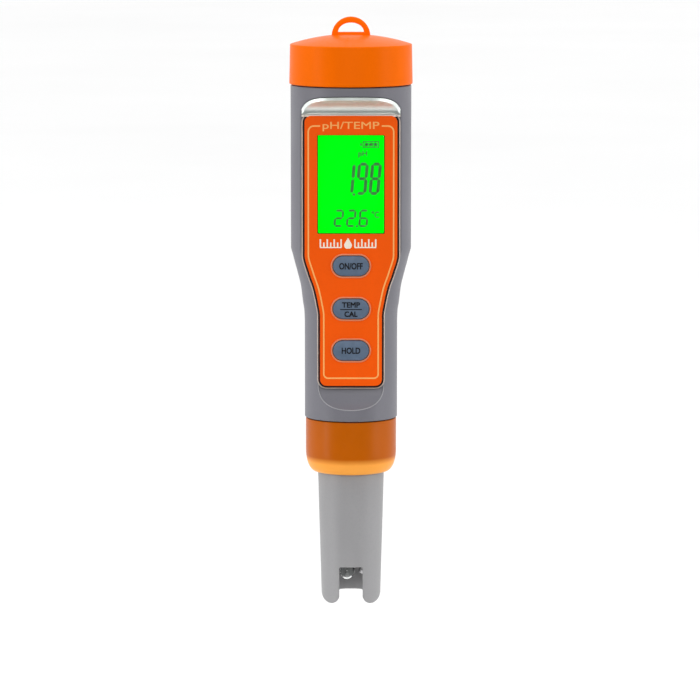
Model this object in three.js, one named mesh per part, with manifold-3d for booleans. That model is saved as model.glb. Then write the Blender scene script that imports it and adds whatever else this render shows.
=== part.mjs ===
// Pocket pH meter: a round grey housing with a flat front panel, a backlit display and three push
// buttons, a screw-on battery cap with a hanging loop, and a plug-in probe held by a screw collar.
//
// Units are millimetres. +Z runs up the meter, the front panel faces -Y and X runs across it.
// Heights are measured up from a datum just under the probe's prongs, and depths forwards (-Y) from
// the centre line.
// The finished group is lowered so that its origin is the centre of the hanging loop's hole.

import * as THREE from 'three';
import { mergeVertices } from 'three/addons/utils/BufferGeometryUtils.js';
import Module from 'manifold-3d';

const wasm = await Module();
wasm.setup();

// ---------------------------------------------------------------- driving dimensions

const GAP = 0.3; // clearance between separate pieces
const ROUND = 32; // facets round a large turned piece
const SMALL_ROUND = 12; // facets round a small one
const OVERCUT = 1; // how far a cutter runs past the face it cuts through
const OVERLAP = 0.2; // how far two joined shapes run into each other

const CAP = { radius: 19, topRadius: 18.75, bottom: 162.2, rim: 174.4, apex: 177.4, roof: 172.6 };
const CAP_SEAT = { radius: 17.7, top: 164.2 };
const CAP_BOSS = { radius: 4, bore: 1.8, boreTop: 172.3 };
const LOOP = { radius: 5.95, foot: 175, centre: 176.85, thickness: 2.4 };
const LOOP_HOLE = { radius: 3.95, bottom: 178.1, height: 2.9 };
const BODY = { radius: 18.6, bottom: 111, top: 161.9, bore: 16.8, boreBottom: 110.5, boreTop: 158.5 };
const NECK = { radius: 14.3, bottom: 59, top: 90, bore: 12.5, floor: 61, boreTop: 92 };
const SHOULDER = [[14.9, 95.2], [15.5, 99.9], [16.4, 103.6], [17.8, 108.9]]; // radius, height
const CAP_SPIGOT = { radius: 15.4, bore: 13.9, boreBottom: 160.2, top: 170.5, threadTop: 169.7 };
const PROBE_SPIGOT = { radius: 11.1, bore: 9.6, bottom: 48.1, threadTop: 56.5 };
const COLLAR = { radius: 14, lipRadius: 10.95, opening: 10.6, bottom: 42, straight: 48.5 };
const COLLAR_INSIDE = { bore: 12.2, shelf: 46 };
const PROBE = { tip: 1.1, tipRadius: 9.1, radius: 10.25, taperTop: 42, plug: 9.2, top: 54 };
const PROBE_INSIDE = { tipBore: 7.2, bore: 7.6 };
const PRONG_WIDTH = 5.58;
const BULKHEAD = { bottom: 13.3, top: 16.5 };
const SLOT = { halfWidth: 3.6, frontTop: 12.8, rearTop: 3.2, corner: 1 };
const FLANGE = { radius: 11.6, bottom: 46.3, top: 47.8 };
const SEAL_GROOVE = { radius: 8.2, bottom: 49.2, top: 50.9 };
const PROBE_SEAL = { centreRadius: 8.85, section: 0.42 };

// Both screw threads are right-handed and share one ridge section.
const THREAD = { pitch: 3, reach: 0.7, bury: 0.3, rootWidth: 0.9, crestWidth: 0.5, turns: 2 };
const THREAD_STEPS = 20; // for each turn
const CAP_THREAD_BORE = 16.5;

// Flat front of the housing: a plane cut, run out by a scoop below and a ramp above.
const FLAT = { depth: 10.2, bottom: 69.6, top: 153.4, wallBack: 8.7, wallTop: 160 };
const SCOOP_RADIUS = 8;
const RAMP = { centreDepth: 19, depthReach: 8.8, rise: 5.9 };

// Front panel, as depths of its layers and the half outline of the orange overlay.
const TRIM = { back: 10.4, floor: 11, front: 11.6, border: 0.7, fit: 0.25 };
const BAND = { thickness: 0.9, corner: 3, bottom: 147.4, top: 161.4 };
const OVERLAY = { back: 11.2, front: 11.7 };
const OVERLAY_HALF = [
  [9.7, 69.7],
  [9.7, 91.5],
  [10.3, 95.4],
  [11.3, 99.9],
  [12.9, 104.6],
  [14.4, 110.4],
  [14.4, 153.3],
];
const OVERLAY_CORNER = 2;
const DISPLAY = { width: 20.2, height: 29.9, centre: 132.05, corner: 0.5 };
const WINDOW = { back: 10.6, front: 11.6, fit: 0.25 };

// Push buttons: face, flange behind the panel, stem, and the heights of their centres.
const BUTTON = { width: 11.1, height: 6.2, clearance: 0.32, front: 12.4 };
const BUTTON_FLANGE = { width: 13.4, height: 7.8, back: 7.9, front: 8.4 };
const BUTTON_STEM = { radius: 2, back: 5.3 };
const BUTTONS = { button_on_off: 107, button_temp_cal: 93.75, button_hold: 80.9 };
const CONTACT = { radius: 1.6, back: 4.75, front: 5.05 };
const MEMBRANE = { width: 15, back: 6.2, front: 6.9, below: 6, above: 5, holeFit: 0.5, corner: 1.5 };

// Electronics stack behind the flat, as depths.
const LCD = { back: 8.5, front: 10.1, width: 21.4, height: 31, corner: 0.3 };
const BACKLIGHT_HEIGHT = 26;
const ZEBRA = { half: 7.4, offset: 14.2, thickness: 1.4 };
const BOARD = { back: 2.3, front: 3.9, bottom: 64, top: 150, corner: 1 };
const BOARD_HALF = { low: 8.5, high: 12, shoulder: 108, step: 113 };
const CHIPS = {
  controller_chip: { size: [10, 10], place: [0, 130], thickness: 1.6 },
  amplifier_chip: { size: [5, 4], place: [0, 80], thickness: 1.3 },
  crystal: { size: [3.5, 9], place: [-8, 121], thickness: 1.8 },
};
const CAPACITOR = { radius: 2.1, length: 2.6, side: 4.8, height: 90 };
const BACKLIGHT_LED = { inner: 11, outer: 11.8, front: 5.6, bottom: 130, top: 134 };
const RIBBON = { half: 4, thickness: 0.4, bottom: 63.7, top: 71 };
const TRAY = { back: -3, floor: -1.5, edge: 2, wall: 1.3 };
const SCREWS = { screw_upper_left: [-9.4, 147.4], screw_upper_right: [9.4, 147.4], screw_lower: [0, 74.5] };
const SCREW = { shank: 0.8, head: 1.6, headHeight: 1.1, hole: 1.1, postRadius: 2.2 };

// Battery compartment: two wells side by side, two cells in each.
const CELL = { radius: 5.8, height: 5.4, lower: 156.7, rimWidth: 1, rimHeight: 0.8 };
const HOLDER = { radius: 13.5, bottom: 152, top: 167.5, flatTop: 160.3 };
const WELL = { side: 6.35, radius: 6.1, floor: 153.7 };
const SPRING = { footRadius: 4.6, topRadius: 2.5, foot: 154.4, rise: 1.6, turns: 2.5, wire: 0.32 };
const LEAD = { side: 5, radius: 0.55 };
const LEAD_ROUTE = [[-6.6, 151.6], [-6.4, 150.6], [-5.4, 149.8], [-4.9, 148.9], [-4.9, 148.1]]; // y, height
const CONTACT_PLATE = { radius: 12, bottom: 168.1, top: 168.7, pinRadius: 1.5, pinTop: 172 };
const CAP_SEAL = { centreRadius: 16.9, section: 0.5, height: 162.85 };

// Plug and socket of the probe.
const SOCKET = { bottom: 55.2, top: 63.3, fit: 0.4, holeBottom: 54, holeTop: 61.5, holeFit: 0.45 };
const PLUG = { bottom: 50.5, top: 54.6 };
const PINS = { radius: 0.45, circle: 3.5, bottom: 48.5, top: 60.5, count: 4 };

// Sensors in the probe's tip: where each stands in plan, and its radius.
const SENSORS = {
  electrode: { place: [-1.3, -1], radius: 2 },
  temperature: { place: [3.6, 1.5], radius: 1.2 },
  junction: { place: [0.2, 4.3], radius: 1 },
};
const BULB = { radius: 2.55, wall: 0.45, centre: 10.3 };
const STEM = { wall: 0.5, top: 42 };
const WIRE = { radius: 0.4, top: 45, electrodeBottom: 9.6, referenceBottom: 19 };
const TEMPERATURE_TUBE = { bottom: 9, top: 24 };
const JUNCTION = { bottom: 12.6, top: 18 };

// ---------------------------------------------------------------- materials

function plastic(color, roughness = 0.5) {
  return new THREE.MeshStandardMaterial({ color, roughness, metalness: 0 });
}

function metal(color, roughness = 0.35) {
  return new THREE.MeshStandardMaterial({ color, roughness, metalness: 1 });
}

function clear(color, opacity) {
  return new THREE.MeshStandardMaterial({ color, roughness: 0.08, transparent: true, opacity });
}

const ORANGE = '#f07000';
const OVERLAY_ORANGE = '#eb5805';
const GREY = '#7a7981';
const PROBE_GREY = '#98979a';
const RUBBER = '#5b6a80';
const BLACK = '#1c1c1e';
const STEEL = '#b9bbbd';

// ---------------------------------------------------------------- shape helpers

/** Closed solid from a three.js geometry whose surface is watertight once its corners are merged. */
function toSolid(geometry) {
  geometry.deleteAttribute('normal');
  geometry.deleteAttribute('uv');
  const merged = mergeVertices(geometry);
  const corners = [];
  for (let i = 0; i < merged.index.count; i += 3) {
    const [a, b, c] = [0, 1, 2].map((k) => merged.index.getX(i + k));
    if (a !== b && b !== c && c !== a) {
      corners.push(a, b, c);
    }
  }
  const mesh = new wasm.Mesh({
    numProp: 3,
    vertProperties: new Float32Array(merged.attributes.position.array),
    triVerts: new Uint32Array(corners),
  });
  return new wasm.Manifold(mesh);
}

function toGeometry(solid) {
  const mesh = solid.getMesh();
  const geometry = new THREE.BufferGeometry();
  geometry.setAttribute('position', new THREE.BufferAttribute(mesh.vertProperties, 3));
  geometry.setIndex(new THREE.BufferAttribute(mesh.triVerts, 1));
  geometry.computeVertexNormals();
  return geometry;
}

/** Solid of revolution about Z. The outline's [radius, height] points run up its outer wall. */
function turned(outline, segments = ROUND) {
  const points = outline.map(([radius, height]) => new THREE.Vector2(radius, height));
  return toSolid(new THREE.LatheGeometry(points, segments).rotateX(Math.PI / 2));
}

/** Upright cylinder standing at a place in plan. */
function post(radius, bottom, top, [x, y] = [0, 0], segments = ROUND) {
  const geometry = new THREE.CylinderGeometry(radius, radius, top - bottom, segments);
  return toSolid(geometry.rotateX(Math.PI / 2).translate(x, y, (bottom + top) / 2));
}

/** Round pin along the depth direction. */
function stud(radius, back, front, [x, z], segments = SMALL_ROUND) {
  const geometry = new THREE.CylinderGeometry(radius, radius, front - back, segments);
  return toSolid(geometry.translate(x, -(back + front) / 2, z));
}

/** Box given by its limits across X, in depth and in height. */
function block([left, right], [back, front], [bottom, top]) {
  const geometry = new THREE.BoxGeometry(right - left, front - back, top - bottom);
  return toSolid(geometry.translate((left + right) / 2, -(back + front) / 2, (bottom + top) / 2));
}

/** Plate cut to a shape drawn across X and up Z, between two depths. */
function plate(shape, back, front, curveSegments = 4) {
  const settings = { depth: front - back, bevelEnabled: false, curveSegments };
  return toSolid(new THREE.ExtrudeGeometry(shape, settings).rotateX(Math.PI / 2).translate(0, -back, 0));
}

/** Bar across X whose side view is an outline of [depth, height] points. */
function crossBar(outline, width) {
  const shape = new THREE.Shape(outline.map(([depth, height]) => new THREE.Vector2(depth, height)));
  const sideView = new THREE.Matrix4().makeBasis(
    new THREE.Vector3(0, -1, 0),
    new THREE.Vector3(0, 0, 1),
    new THREE.Vector3(-1, 0, 0),
  );
  const geometry = new THREE.ExtrudeGeometry(shape, { depth: width, bevelEnabled: false });
  return toSolid(geometry.applyMatrix4(sideView).translate(width / 2, 0, 0));
}

/** Points on an elliptical arc, for outlines. Angles are in degrees. */
function arc([centreX, centreY], [radiusX, radiusY], from, to, steps) {
  return Array.from({ length: steps + 1 }, (_, i) => {
    const angle = THREE.MathUtils.degToRad(from + ((to - from) * i) / steps);
    return [centreX + radiusX * Math.cos(angle), centreY + radiusY * Math.sin(angle)];
  });
}

/** Closed shape through the points, with each corner eased by a curve. */
function easedShape(points, radius) {
  const corners = points.map(([x, y]) => new THREE.Vector2(x, y));
  const shape = new THREE.Shape();
  corners.forEach((corner, i) => {
    const before = corners.at(i - 1);
    const after = corners[(i + 1) % corners.length];
    const ease = Math.min(radius, corner.distanceTo(before) / 2, corner.distanceTo(after) / 2);
    const start = corner.clone().add(before.clone().sub(corner).setLength(ease));
    const end = corner.clone().add(after.clone().sub(corner).setLength(ease));
    if (i === 0) {
      shape.moveTo(start.x, start.y);
    } else {
      shape.lineTo(start.x, start.y);
    }
    shape.quadraticCurveTo(corner.x, corner.y, end.x, end.y);
  });
  shape.closePath();
  return shape;
}

function rectangle(width, height, centreZ, radius, centreX = 0) {
  const [x, z] = [width / 2, height / 2];
  const corners = [[-x, -z], [x, -z], [x, z], [-x, z]];
  return easedShape(corners.map(([dx, dz]) => [centreX + dx, centreZ + dz]), radius);
}

/** Pill: a rectangle whose short ends are half circles. */
function pill(width, height, centreZ) {
  const [reach, radius] = [(width - height) / 2, height / 2];
  const shape = new THREE.Shape();
  shape.absarc(reach, centreZ, radius, -Math.PI / 2, Math.PI / 2);
  shape.absarc(-reach, centreZ, radius, Math.PI / 2, (3 * Math.PI) / 2);
  shape.closePath();
  return shape;
}

/** Symmetrical shape from the right-hand half of its outline, grown outwards by a border. */
function mirroredShape(half, border, radius) {
  const lowest = half[0][1];
  const highest = half.at(-1)[1];
  const grown = half.map(([x, z]) => {
    const lift = z === highest ? border : 0;
    const drop = z === lowest ? border : 0;
    return [x + border, z + lift - drop];
  });
  const mirrored = grown.toReversed().map(([x, z]) => [-x, z]);
  return easedShape([...grown, ...mirrored], radius);
}

/** Screw ridge on a wall of the given radius, from a height downwards. A negative reach points inwards. */
function threadRidge(wallRadius, reach, top) {
  const inside = -Math.sign(reach) * THREAD.bury;
  const [root, crest] = [THREAD.rootWidth / 2, THREAD.crestWidth / 2];
  const corners = [[inside, -root], [reach, -crest], [reach, crest], [inside, root]];
  const section = new THREE.Shape(corners.map(([x, y]) => new THREE.Vector2(x, y)));
  const steps = THREAD.turns * THREAD_STEPS;
  const depth = THREAD.turns * 2 * Math.PI;
  const geometry = new THREE.ExtrudeGeometry(section, { depth, steps, bevelEnabled: false });
  const position = geometry.attributes.position;
  for (let i = 0; i < position.count; i += 1) {
    const radius = wallRadius + position.getX(i);
    const angle = -position.getZ(i);
    const height = top + position.getY(i) + (THREAD.pitch * angle) / (2 * Math.PI);
    position.setXYZ(i, radius * Math.cos(angle), radius * Math.sin(angle), height);
  }
  return toSolid(geometry);
}

/** Round wire along a curve. */
function wire(curve, radius, steps) {
  const section = new THREE.Shape();
  section.absarc(0, 0, radius, 0, 2 * Math.PI);
  const settings = { steps, extrudePath: curve, curveSegments: 3, bevelEnabled: false };
  return toSolid(new THREE.ExtrudeGeometry(section, settings));
}

/** Ring of round section. */
function ring(centreRadius, sectionRadius, height) {
  const sides = 6;
  const section = arc([centreRadius, height], [sectionRadius, sectionRadius], 0, 360, sides);
  section[sides] = section[0];
  return turned(section, 24);
}

function union(first, ...others) {
  return others.reduce((sum, solid) => sum.add(solid), first);
}

function cut(first, ...others) {
  return others.reduce((rest, solid) => rest.subtract(solid), first);
}

// ---------------------------------------------------------------- housing and front panel

function rampArc(clearance) {
  const reach = [RAMP.depthReach - clearance, RAMP.rise - clearance];
  return arc([RAMP.centreDepth, FLAT.top], reach, 180, 90, 8);
}

function housingFrontCut() {
  const scoopCentre = [FLAT.depth + SCOOP_RADIUS, FLAT.bottom];
  const scoop = arc(scoopCentre, [SCOOP_RADIUS, SCOOP_RADIUS], 270, 180, 6);
  const outside = BODY.radius + OVERCUT * 4;
  const [lowest, highest] = [FLAT.bottom - SCOOP_RADIUS, FLAT.top + RAMP.rise];
  const outline = [[outside, lowest], ...scoop, ...rampArc(0), [outside, highest]];
  return crossBar(outline, outside * 2);
}

function housingCavity() {
  const hollow = turned([
    [0, NECK.floor],
    [NECK.bore, NECK.floor],
    [NECK.bore, NECK.boreTop],
    [BODY.bore, BODY.boreBottom],
    [BODY.bore, BODY.boreTop],
    [CAP_SPIGOT.bore, CAP_SPIGOT.boreBottom],
    [CAP_SPIGOT.bore, CAP_SPIGOT.top + OVERCUT],
    [0, CAP_SPIGOT.top + OVERCUT],
  ]);
  const { radius } = BODY;
  const flatWall = block([-radius, radius], [FLAT.wallBack, radius], [NECK.bottom, FLAT.wallTop]);
  return hollow.subtract(flatWall);
}

/** The display's outline, grown by a margin on every side. */
function displayShape(margin, corner) {
  return rectangle(DISPLAY.width + 2 * margin, DISPLAY.height + 2 * margin, DISPLAY.centre, corner);
}

function buttonOpening(centreZ, back, front) {
  const margin = 2 * BUTTON.clearance;
  return plate(pill(BUTTON.width + margin, BUTTON.height + margin, centreZ), back, front);
}

function buttonOpenings(back, front) {
  return Object.values(BUTTONS).map((centreZ) => buttonOpening(centreZ, back, front));
}

function housingShell() {
  const round = turned([
    [0, PROBE_SPIGOT.bottom],
    [PROBE_SPIGOT.radius, PROBE_SPIGOT.bottom],
    [PROBE_SPIGOT.radius, NECK.bottom],
    [NECK.radius, NECK.bottom],
    [NECK.radius, NECK.top],
    ...SHOULDER,
    [BODY.radius, BODY.bottom],
    [BODY.radius, BODY.top],
    [CAP_SPIGOT.radius, BODY.top],
    [CAP_SPIGOT.radius, CAP_SPIGOT.top],
    [0, CAP_SPIGOT.top],
  ]);
  const probeBore = post(PROBE_SPIGOT.bore, PROBE_SPIGOT.bottom - OVERCUT, SOCKET.top + GAP);
  const [back, front] = [FLAT.wallBack - OVERCUT, FLAT.depth + OVERCUT];
  const [width, height] = [LCD.width + 2 * GAP, LCD.height + 2 * GAP];
  const lcdOpening = plate(rectangle(width, height, DISPLAY.centre, LCD.corner + GAP), back, front);
  const shell = cut(
    round,
    housingFrontCut(),
    housingCavity(),
    probeBore,
    lcdOpening,
    ...buttonOpenings(back, front),
  );
  return union(
    shell,
    threadRidge(CAP_SPIGOT.radius, THREAD.reach, CAP_SPIGOT.threadTop),
    threadRidge(PROBE_SPIGOT.radius, THREAD.reach, PROBE_SPIGOT.threadTop),
  );
}

function trimBand() {
  const outline = [...rampArc(GAP), ...rampArc(GAP + BAND.thickness).reverse()];
  const width = 2 * (OVERLAY_HALF.at(-1)[0] + TRIM.border);
  const height = 2 * (FLAT.top - BAND.bottom);
  const bandView = rectangle(width, height, FLAT.top, BAND.corner);
  return crossBar(outline, width)
    .intersect(plate(bandView, FLAT.depth, BODY.radius + OVERCUT))
    .intersect(post(BODY.radius, BAND.bottom, BAND.top));
}

function bezelTrim() {
  const border = mirroredShape(OVERLAY_HALF, TRIM.border, OVERLAY_CORNER + TRIM.border);
  const recess = mirroredShape(OVERLAY_HALF, TRIM.fit, OVERLAY_CORNER + TRIM.fit);
  const [back, front] = [TRIM.back - OVERCUT, TRIM.front + OVERCUT];
  const dish = cut(
    plate(border, TRIM.back, TRIM.front),
    plate(recess, TRIM.floor, front),
    plate(displayShape(GAP, DISPLAY.corner), back, front),
    ...buttonOpenings(back, front),
  );
  const openBand = trimBand().subtract(plate(recess, TRIM.floor, front));
  return dish.add(openBand);
}

function frontOverlay() {
  const sheet = plate(mirroredShape(OVERLAY_HALF, 0, OVERLAY_CORNER), OVERLAY.back, OVERLAY.front);
  const [back, front] = [OVERLAY.back - OVERCUT, OVERLAY.front + OVERCUT];
  const displayHole = plate(displayShape(WINDOW.fit, DISPLAY.corner), back, front);
  return cut(sheet, displayHole, ...buttonOpenings(back, front));
}

function displayWindow() {
  return plate(displayShape(0, DISPLAY.corner), WINDOW.back, WINDOW.front);
}

// ---------------------------------------------------------------- keypad

function buttonCap(centreZ) {
  const { width, height, back, front } = BUTTON_FLANGE;
  return union(
    plate(pill(BUTTON.width, BUTTON.height, centreZ), front - OVERLAP, BUTTON.front),
    plate(pill(width, height, centreZ), back, front),
    stud(BUTTON_STEM.radius, BUTTON_STEM.back, back + OVERLAP, [0, centreZ]),
  );
}

function contactPill(centreZ) {
  return stud(CONTACT.radius, CONTACT.back, CONTACT.front, [0, centreZ]);
}

function keypadMembrane() {
  const heights = Object.values(BUTTONS);
  const { width, back, front, below, above, holeFit, corner } = MEMBRANE;
  const [lowest, highest] = [Math.min(...heights) - below, Math.max(...heights) + above];
  const sheet = plate(rectangle(width, highest - lowest, (lowest + highest) / 2, corner), back, front);
  const radius = BUTTON_STEM.radius + holeFit;
  const stemHoles = heights.map((z) => stud(radius, back - OVERCUT, front + OVERCUT, [0, z]));
  return cut(sheet, ...stemHoles);
}

// ---------------------------------------------------------------- electronics

function boardShape(inset = 0) {
  const { low, high, shoulder, step } = BOARD_HALF;
  const half = [[low, BOARD.bottom], [low, shoulder], [high, step], [high, BOARD.top]];
  return mirroredShape(half, -inset, BOARD.corner);
}

function screwHoles(back, front) {
  return Object.values(SCREWS).map((place) => stud(SCREW.hole, back, front, place));
}

function mainBoard() {
  const board = plate(boardShape(), BOARD.back, BOARD.front);
  return cut(board, ...screwHoles(BOARD.back - OVERCUT, BOARD.front + OVERCUT));
}

function innerTray() {
  const dish = cut(
    plate(boardShape(), TRAY.back, TRAY.edge),
    plate(boardShape(TRAY.wall), TRAY.floor, TRAY.edge + OVERCUT),
  );
  const posts = Object.values(SCREWS).map((place) => stud(SCREW.postRadius, TRAY.back, TRAY.edge, place));
  return cut(union(dish, ...posts), ...screwHoles(TRAY.back - OVERCUT, TRAY.edge + OVERCUT));
}

function boardScrew(place) {
  const seat = BOARD.front + GAP;
  return union(
    stud(SCREW.shank, TRAY.floor, seat + OVERLAP, place, 10),
    stud(SCREW.head, seat, seat + SCREW.headHeight, place),
  );
}

function lcdGlass() {
  return plate(rectangle(LCD.width, LCD.height, DISPLAY.centre, LCD.corner), LCD.back, LCD.front);
}

function backlight() {
  const shape = rectangle(LCD.width, BACKLIGHT_HEIGHT, DISPLAY.centre, LCD.corner);
  return plate(shape, BOARD.front + GAP, LCD.back - GAP);
}

function zebraStrip(side) {
  const bottom = DISPLAY.centre + side * ZEBRA.offset - ZEBRA.thickness / 2;
  const depths = [BOARD.front + GAP, LCD.back - GAP];
  return block([-ZEBRA.half, ZEBRA.half], depths, [bottom, bottom + ZEBRA.thickness]);
}

function chip({ size: [width, height], place: [x, z], thickness }) {
  const front = BOARD.back - GAP;
  const across = [x - width / 2, x + width / 2];
  return block(across, [front - thickness, front], [z - height / 2, z + height / 2]);
}

function capacitor(side) {
  const front = BOARD.back - GAP;
  return stud(CAPACITOR.radius, front - CAPACITOR.length, front, [side * CAPACITOR.side, CAPACITOR.height]);
}

function backlightLed() {
  const { inner, outer, front, bottom, top } = BACKLIGHT_LED;
  return block([inner, outer], [BOARD.front + GAP, front], [bottom, top]);
}

function probeRibbon() {
  const back = BOARD.front + GAP;
  return block([-RIBBON.half, RIBBON.half], [back, back + RIBBON.thickness], [RIBBON.bottom, RIBBON.top]);
}

// ---------------------------------------------------------------- battery compartment and cap

function batteryHolder() {
  const { radius, bottom, top, flatTop } = HOLDER;
  const wells = [-WELL.side, WELL.side].map((x) => post(WELL.radius, WELL.floor, top + OVERCUT, [x, 0]));
  const depths = [FLAT.wallBack - GAP, radius + OVERCUT];
  const flat = block([-radius, radius], depths, [bottom - OVERCUT, flatTop]);
  return cut(post(radius, bottom, top), flat, ...wells);
}

/** Coin cell with its narrow negative cap at the bottom, or at the top when turned over. */
function buttonCell(x, bottom, turnedOver) {
  const { radius, height, rimWidth, rimHeight } = CELL;
  const upright = [
    [0, 0],
    [radius - rimWidth, 0],
    [radius - rimWidth * 0.8, rimHeight * 0.75],
    [radius, rimHeight],
    [radius, height],
    [0, height],
  ];
  const flipped = upright.toReversed().map(([r, z]) => [r, height - z]);
  return turned(turnedOver ? flipped : upright, 20).translate([x, 0, bottom]);
}

/** Conical contact spring standing on a well's floor. */
class ConeSpring extends THREE.Curve {
  constructor(x) {
    super();
    this.x = x;
  }

  getPoint(t, target = new THREE.Vector3()) {
    const { footRadius, topRadius, foot, rise, turns } = SPRING;
    const angle = t * turns * 2 * Math.PI;
    const radius = footRadius + (topRadius - footRadius) * t;
    return target.set(this.x + radius * Math.cos(angle), radius * Math.sin(angle), foot + rise * t);
  }
}

function batterySpring(x) {
  return wire(new ConeSpring(x), SPRING.wire, 26);
}

function batteryLead(x) {
  const curve = new THREE.CatmullRomCurve3(LEAD_ROUTE.map(([y, z]) => new THREE.Vector3(x, y, z)));
  return wire(curve, LEAD.radius, 8);
}

function hangingLoop() {
  const outline = new THREE.Shape();
  outline.moveTo(-LOOP.radius, LOOP.foot);
  outline.lineTo(LOOP.radius, LOOP.foot);
  outline.absarc(0, LOOP.centre, LOOP.radius, 0, Math.PI);
  outline.closePath();
  const eye = new THREE.Shape();
  eye.absellipse(0, LOOP_HOLE.bottom, LOOP_HOLE.radius, LOOP_HOLE.height, 0, Math.PI);
  eye.closePath();
  const half = LOOP.thickness / 2;
  return cut(plate(outline, -half, half, 12), plate(eye, -half - OVERCUT, half + OVERCUT, 10));
}

function batteryCap() {
  const { radius, topRadius, bottom, rim, apex, roof } = CAP;
  const bossBottom = CONTACT_PLATE.top + GAP;
  const rise = apex - rim;
  const domeRadius = (topRadius ** 2 + rise ** 2) / (2 * rise);
  const domeEdge = THREE.MathUtils.radToDeg(Math.asin(topRadius / domeRadius));
  const dome = arc([0, apex - domeRadius], [domeRadius, domeRadius], 90 - domeEdge, 90, 6);
  dome[6][0] = 0;
  const shell = turned([
    [0, CAP_BOSS.boreTop],
    [CAP_BOSS.bore, CAP_BOSS.boreTop],
    [CAP_BOSS.bore, bossBottom],
    [CAP_BOSS.radius, bossBottom],
    [CAP_BOSS.radius, roof],
    [CAP_THREAD_BORE, roof],
    [CAP_THREAD_BORE, CAP_SEAT.top],
    [CAP_SEAT.radius, CAP_SEAT.top],
    [CAP_SEAT.radius, bottom],
    [radius, bottom],
    ...dome,
  ]);
  const thread = threadRidge(CAP_THREAD_BORE, -THREAD.reach, CAP_SPIGOT.threadTop + THREAD.pitch / 2);
  return union(shell, thread, hangingLoop());
}

function contactPlate() {
  const { radius, bottom, top, pinRadius, pinTop } = CONTACT_PLATE;
  return turned([
    [0, bottom],
    [radius, bottom],
    [radius, top],
    [pinRadius, top],
    [pinRadius, pinTop],
    [0, pinTop],
  ]);
}

// ---------------------------------------------------------------- collar and probe

function collar() {
  const { radius, lipRadius, opening, bottom, straight } = COLLAR;
  const { bore, shelf } = COLLAR_INSIDE;
  const bowl = arc([lipRadius, straight], [radius - lipRadius, straight - bottom], -90, 0, 6);
  const top = NECK.bottom - GAP;
  const shell = turned([
    [opening, bottom],
    ...bowl,
    [radius, top],
    [bore, top],
    [bore, shelf],
    [opening, shelf],
    [opening, bottom],
  ]);
  return shell.add(threadRidge(bore, -THREAD.reach, PROBE_SPIGOT.threadTop + THREAD.pitch / 2));
}

/** Front view of the probe: two round-ended prongs with a short bridge of wall between them. */
function probeFrontView() {
  const radius = PRONG_WIDTH / 2;
  const [prongX, prongZ] = [SLOT.halfWidth + radius, PROBE.tip + radius];
  const [side, ceiling] = [FLANGE.radius + OVERCUT, PROBE.top + OVERCUT];
  const { halfWidth, rearTop, corner } = SLOT;
  const view = new THREE.Shape();
  view.moveTo(-side, ceiling);
  view.lineTo(-side, prongZ);
  view.absarc(-prongX, prongZ, radius, Math.PI, 2 * Math.PI);
  view.lineTo(-halfWidth, rearTop + corner);
  view.quadraticCurveTo(-halfWidth, rearTop, -halfWidth + corner, rearTop);
  view.lineTo(halfWidth - corner, rearTop);
  view.quadraticCurveTo(halfWidth, rearTop, halfWidth, rearTop + corner);
  view.absarc(prongX, prongZ, radius, Math.PI, 2 * Math.PI);
  view.lineTo(side, ceiling);
  view.closePath();
  return plate(view, -side, side, 8);
}

function probeBody() {
  const round = turned([
    [0, PROBE.tip],
    [PROBE.tipRadius, PROBE.tip],
    [PROBE.radius, PROBE.taperTop],
    [PROBE.radius, FLANGE.bottom],
    [FLANGE.radius, FLANGE.bottom],
    [FLANGE.radius, FLANGE.top],
    [PROBE.plug, FLANGE.top],
    [PROBE.plug, SEAL_GROOVE.bottom],
    [SEAL_GROOVE.radius, SEAL_GROOVE.bottom],
    [SEAL_GROOVE.radius, SEAL_GROOVE.top],
    [PROBE.plug, SEAL_GROOVE.top],
    [PROBE.plug, PROBE.top],
    [0, PROBE.top],
  ]);
  const sensorHoles = Object.values(SENSORS).map(({ place, radius }) =>
    post(radius + GAP, BULKHEAD.bottom - OVERCUT, BULKHEAD.top + OVERCUT, place, SMALL_ROUND),
  );
  return cut(
    round.intersect(probeFrontView()),
    post(PROBE_INSIDE.tipBore, -OVERCUT, BULKHEAD.bottom),
    post(PROBE_INSIDE.bore, BULKHEAD.top, PROBE.top + OVERCUT),
    block([-SLOT.halfWidth, SLOT.halfWidth], [0, PROBE.radius + OVERCUT], [-OVERCUT, SLOT.frontTop]),
    ...sensorHoles,
  );
}

function probeSeal() {
  const { centreRadius, section } = PROBE_SEAL;
  return ring(centreRadius, section, (SEAL_GROOVE.bottom + SEAL_GROOVE.top) / 2);
}

/** Glass tube with a thin-walled bulb at its lower end, open at the top. */
function glassElectrode() {
  const { place: [x, y], radius: stem } = SENSORS.electrode;
  const [innerBulb, innerStem] = [BULB.radius - BULB.wall, stem - STEM.wall];
  const shoulder = (stemRadius, bulbRadius) => THREE.MathUtils.radToDeg(Math.acos(stemRadius / bulbRadius));
  const centre = [0, BULB.centre];
  const outside = arc(centre, [BULB.radius, BULB.radius], -90, shoulder(stem, BULB.radius), 6);
  const inside = arc(centre, [innerBulb, innerBulb], shoulder(innerStem, innerBulb), -90, 6);
  outside[0][0] = 0;
  inside[6][0] = 0;
  const outline = [...outside, [stem, STEM.top], [innerStem, STEM.top], ...inside];
  return turned(outline, 14).translate([x, y, 0]);
}

function electrodeWire() {
  return post(WIRE.radius, WIRE.electrodeBottom, WIRE.top, SENSORS.electrode.place, 8);
}

function referenceWire() {
  return post(WIRE.radius, WIRE.referenceBottom, WIRE.top, SENSORS.junction.place, 8);
}

function temperatureSensor() {
  const { place: [x, y], radius } = SENSORS.temperature;
  const { bottom, top } = TEMPERATURE_TUBE;
  const tip = arc([0, bottom + radius], [radius, radius], -90, 0, 4);
  tip[0][0] = 0;
  return turned([...tip, [radius, top], [0, top]], SMALL_ROUND).translate([x, y, 0]);
}

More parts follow.
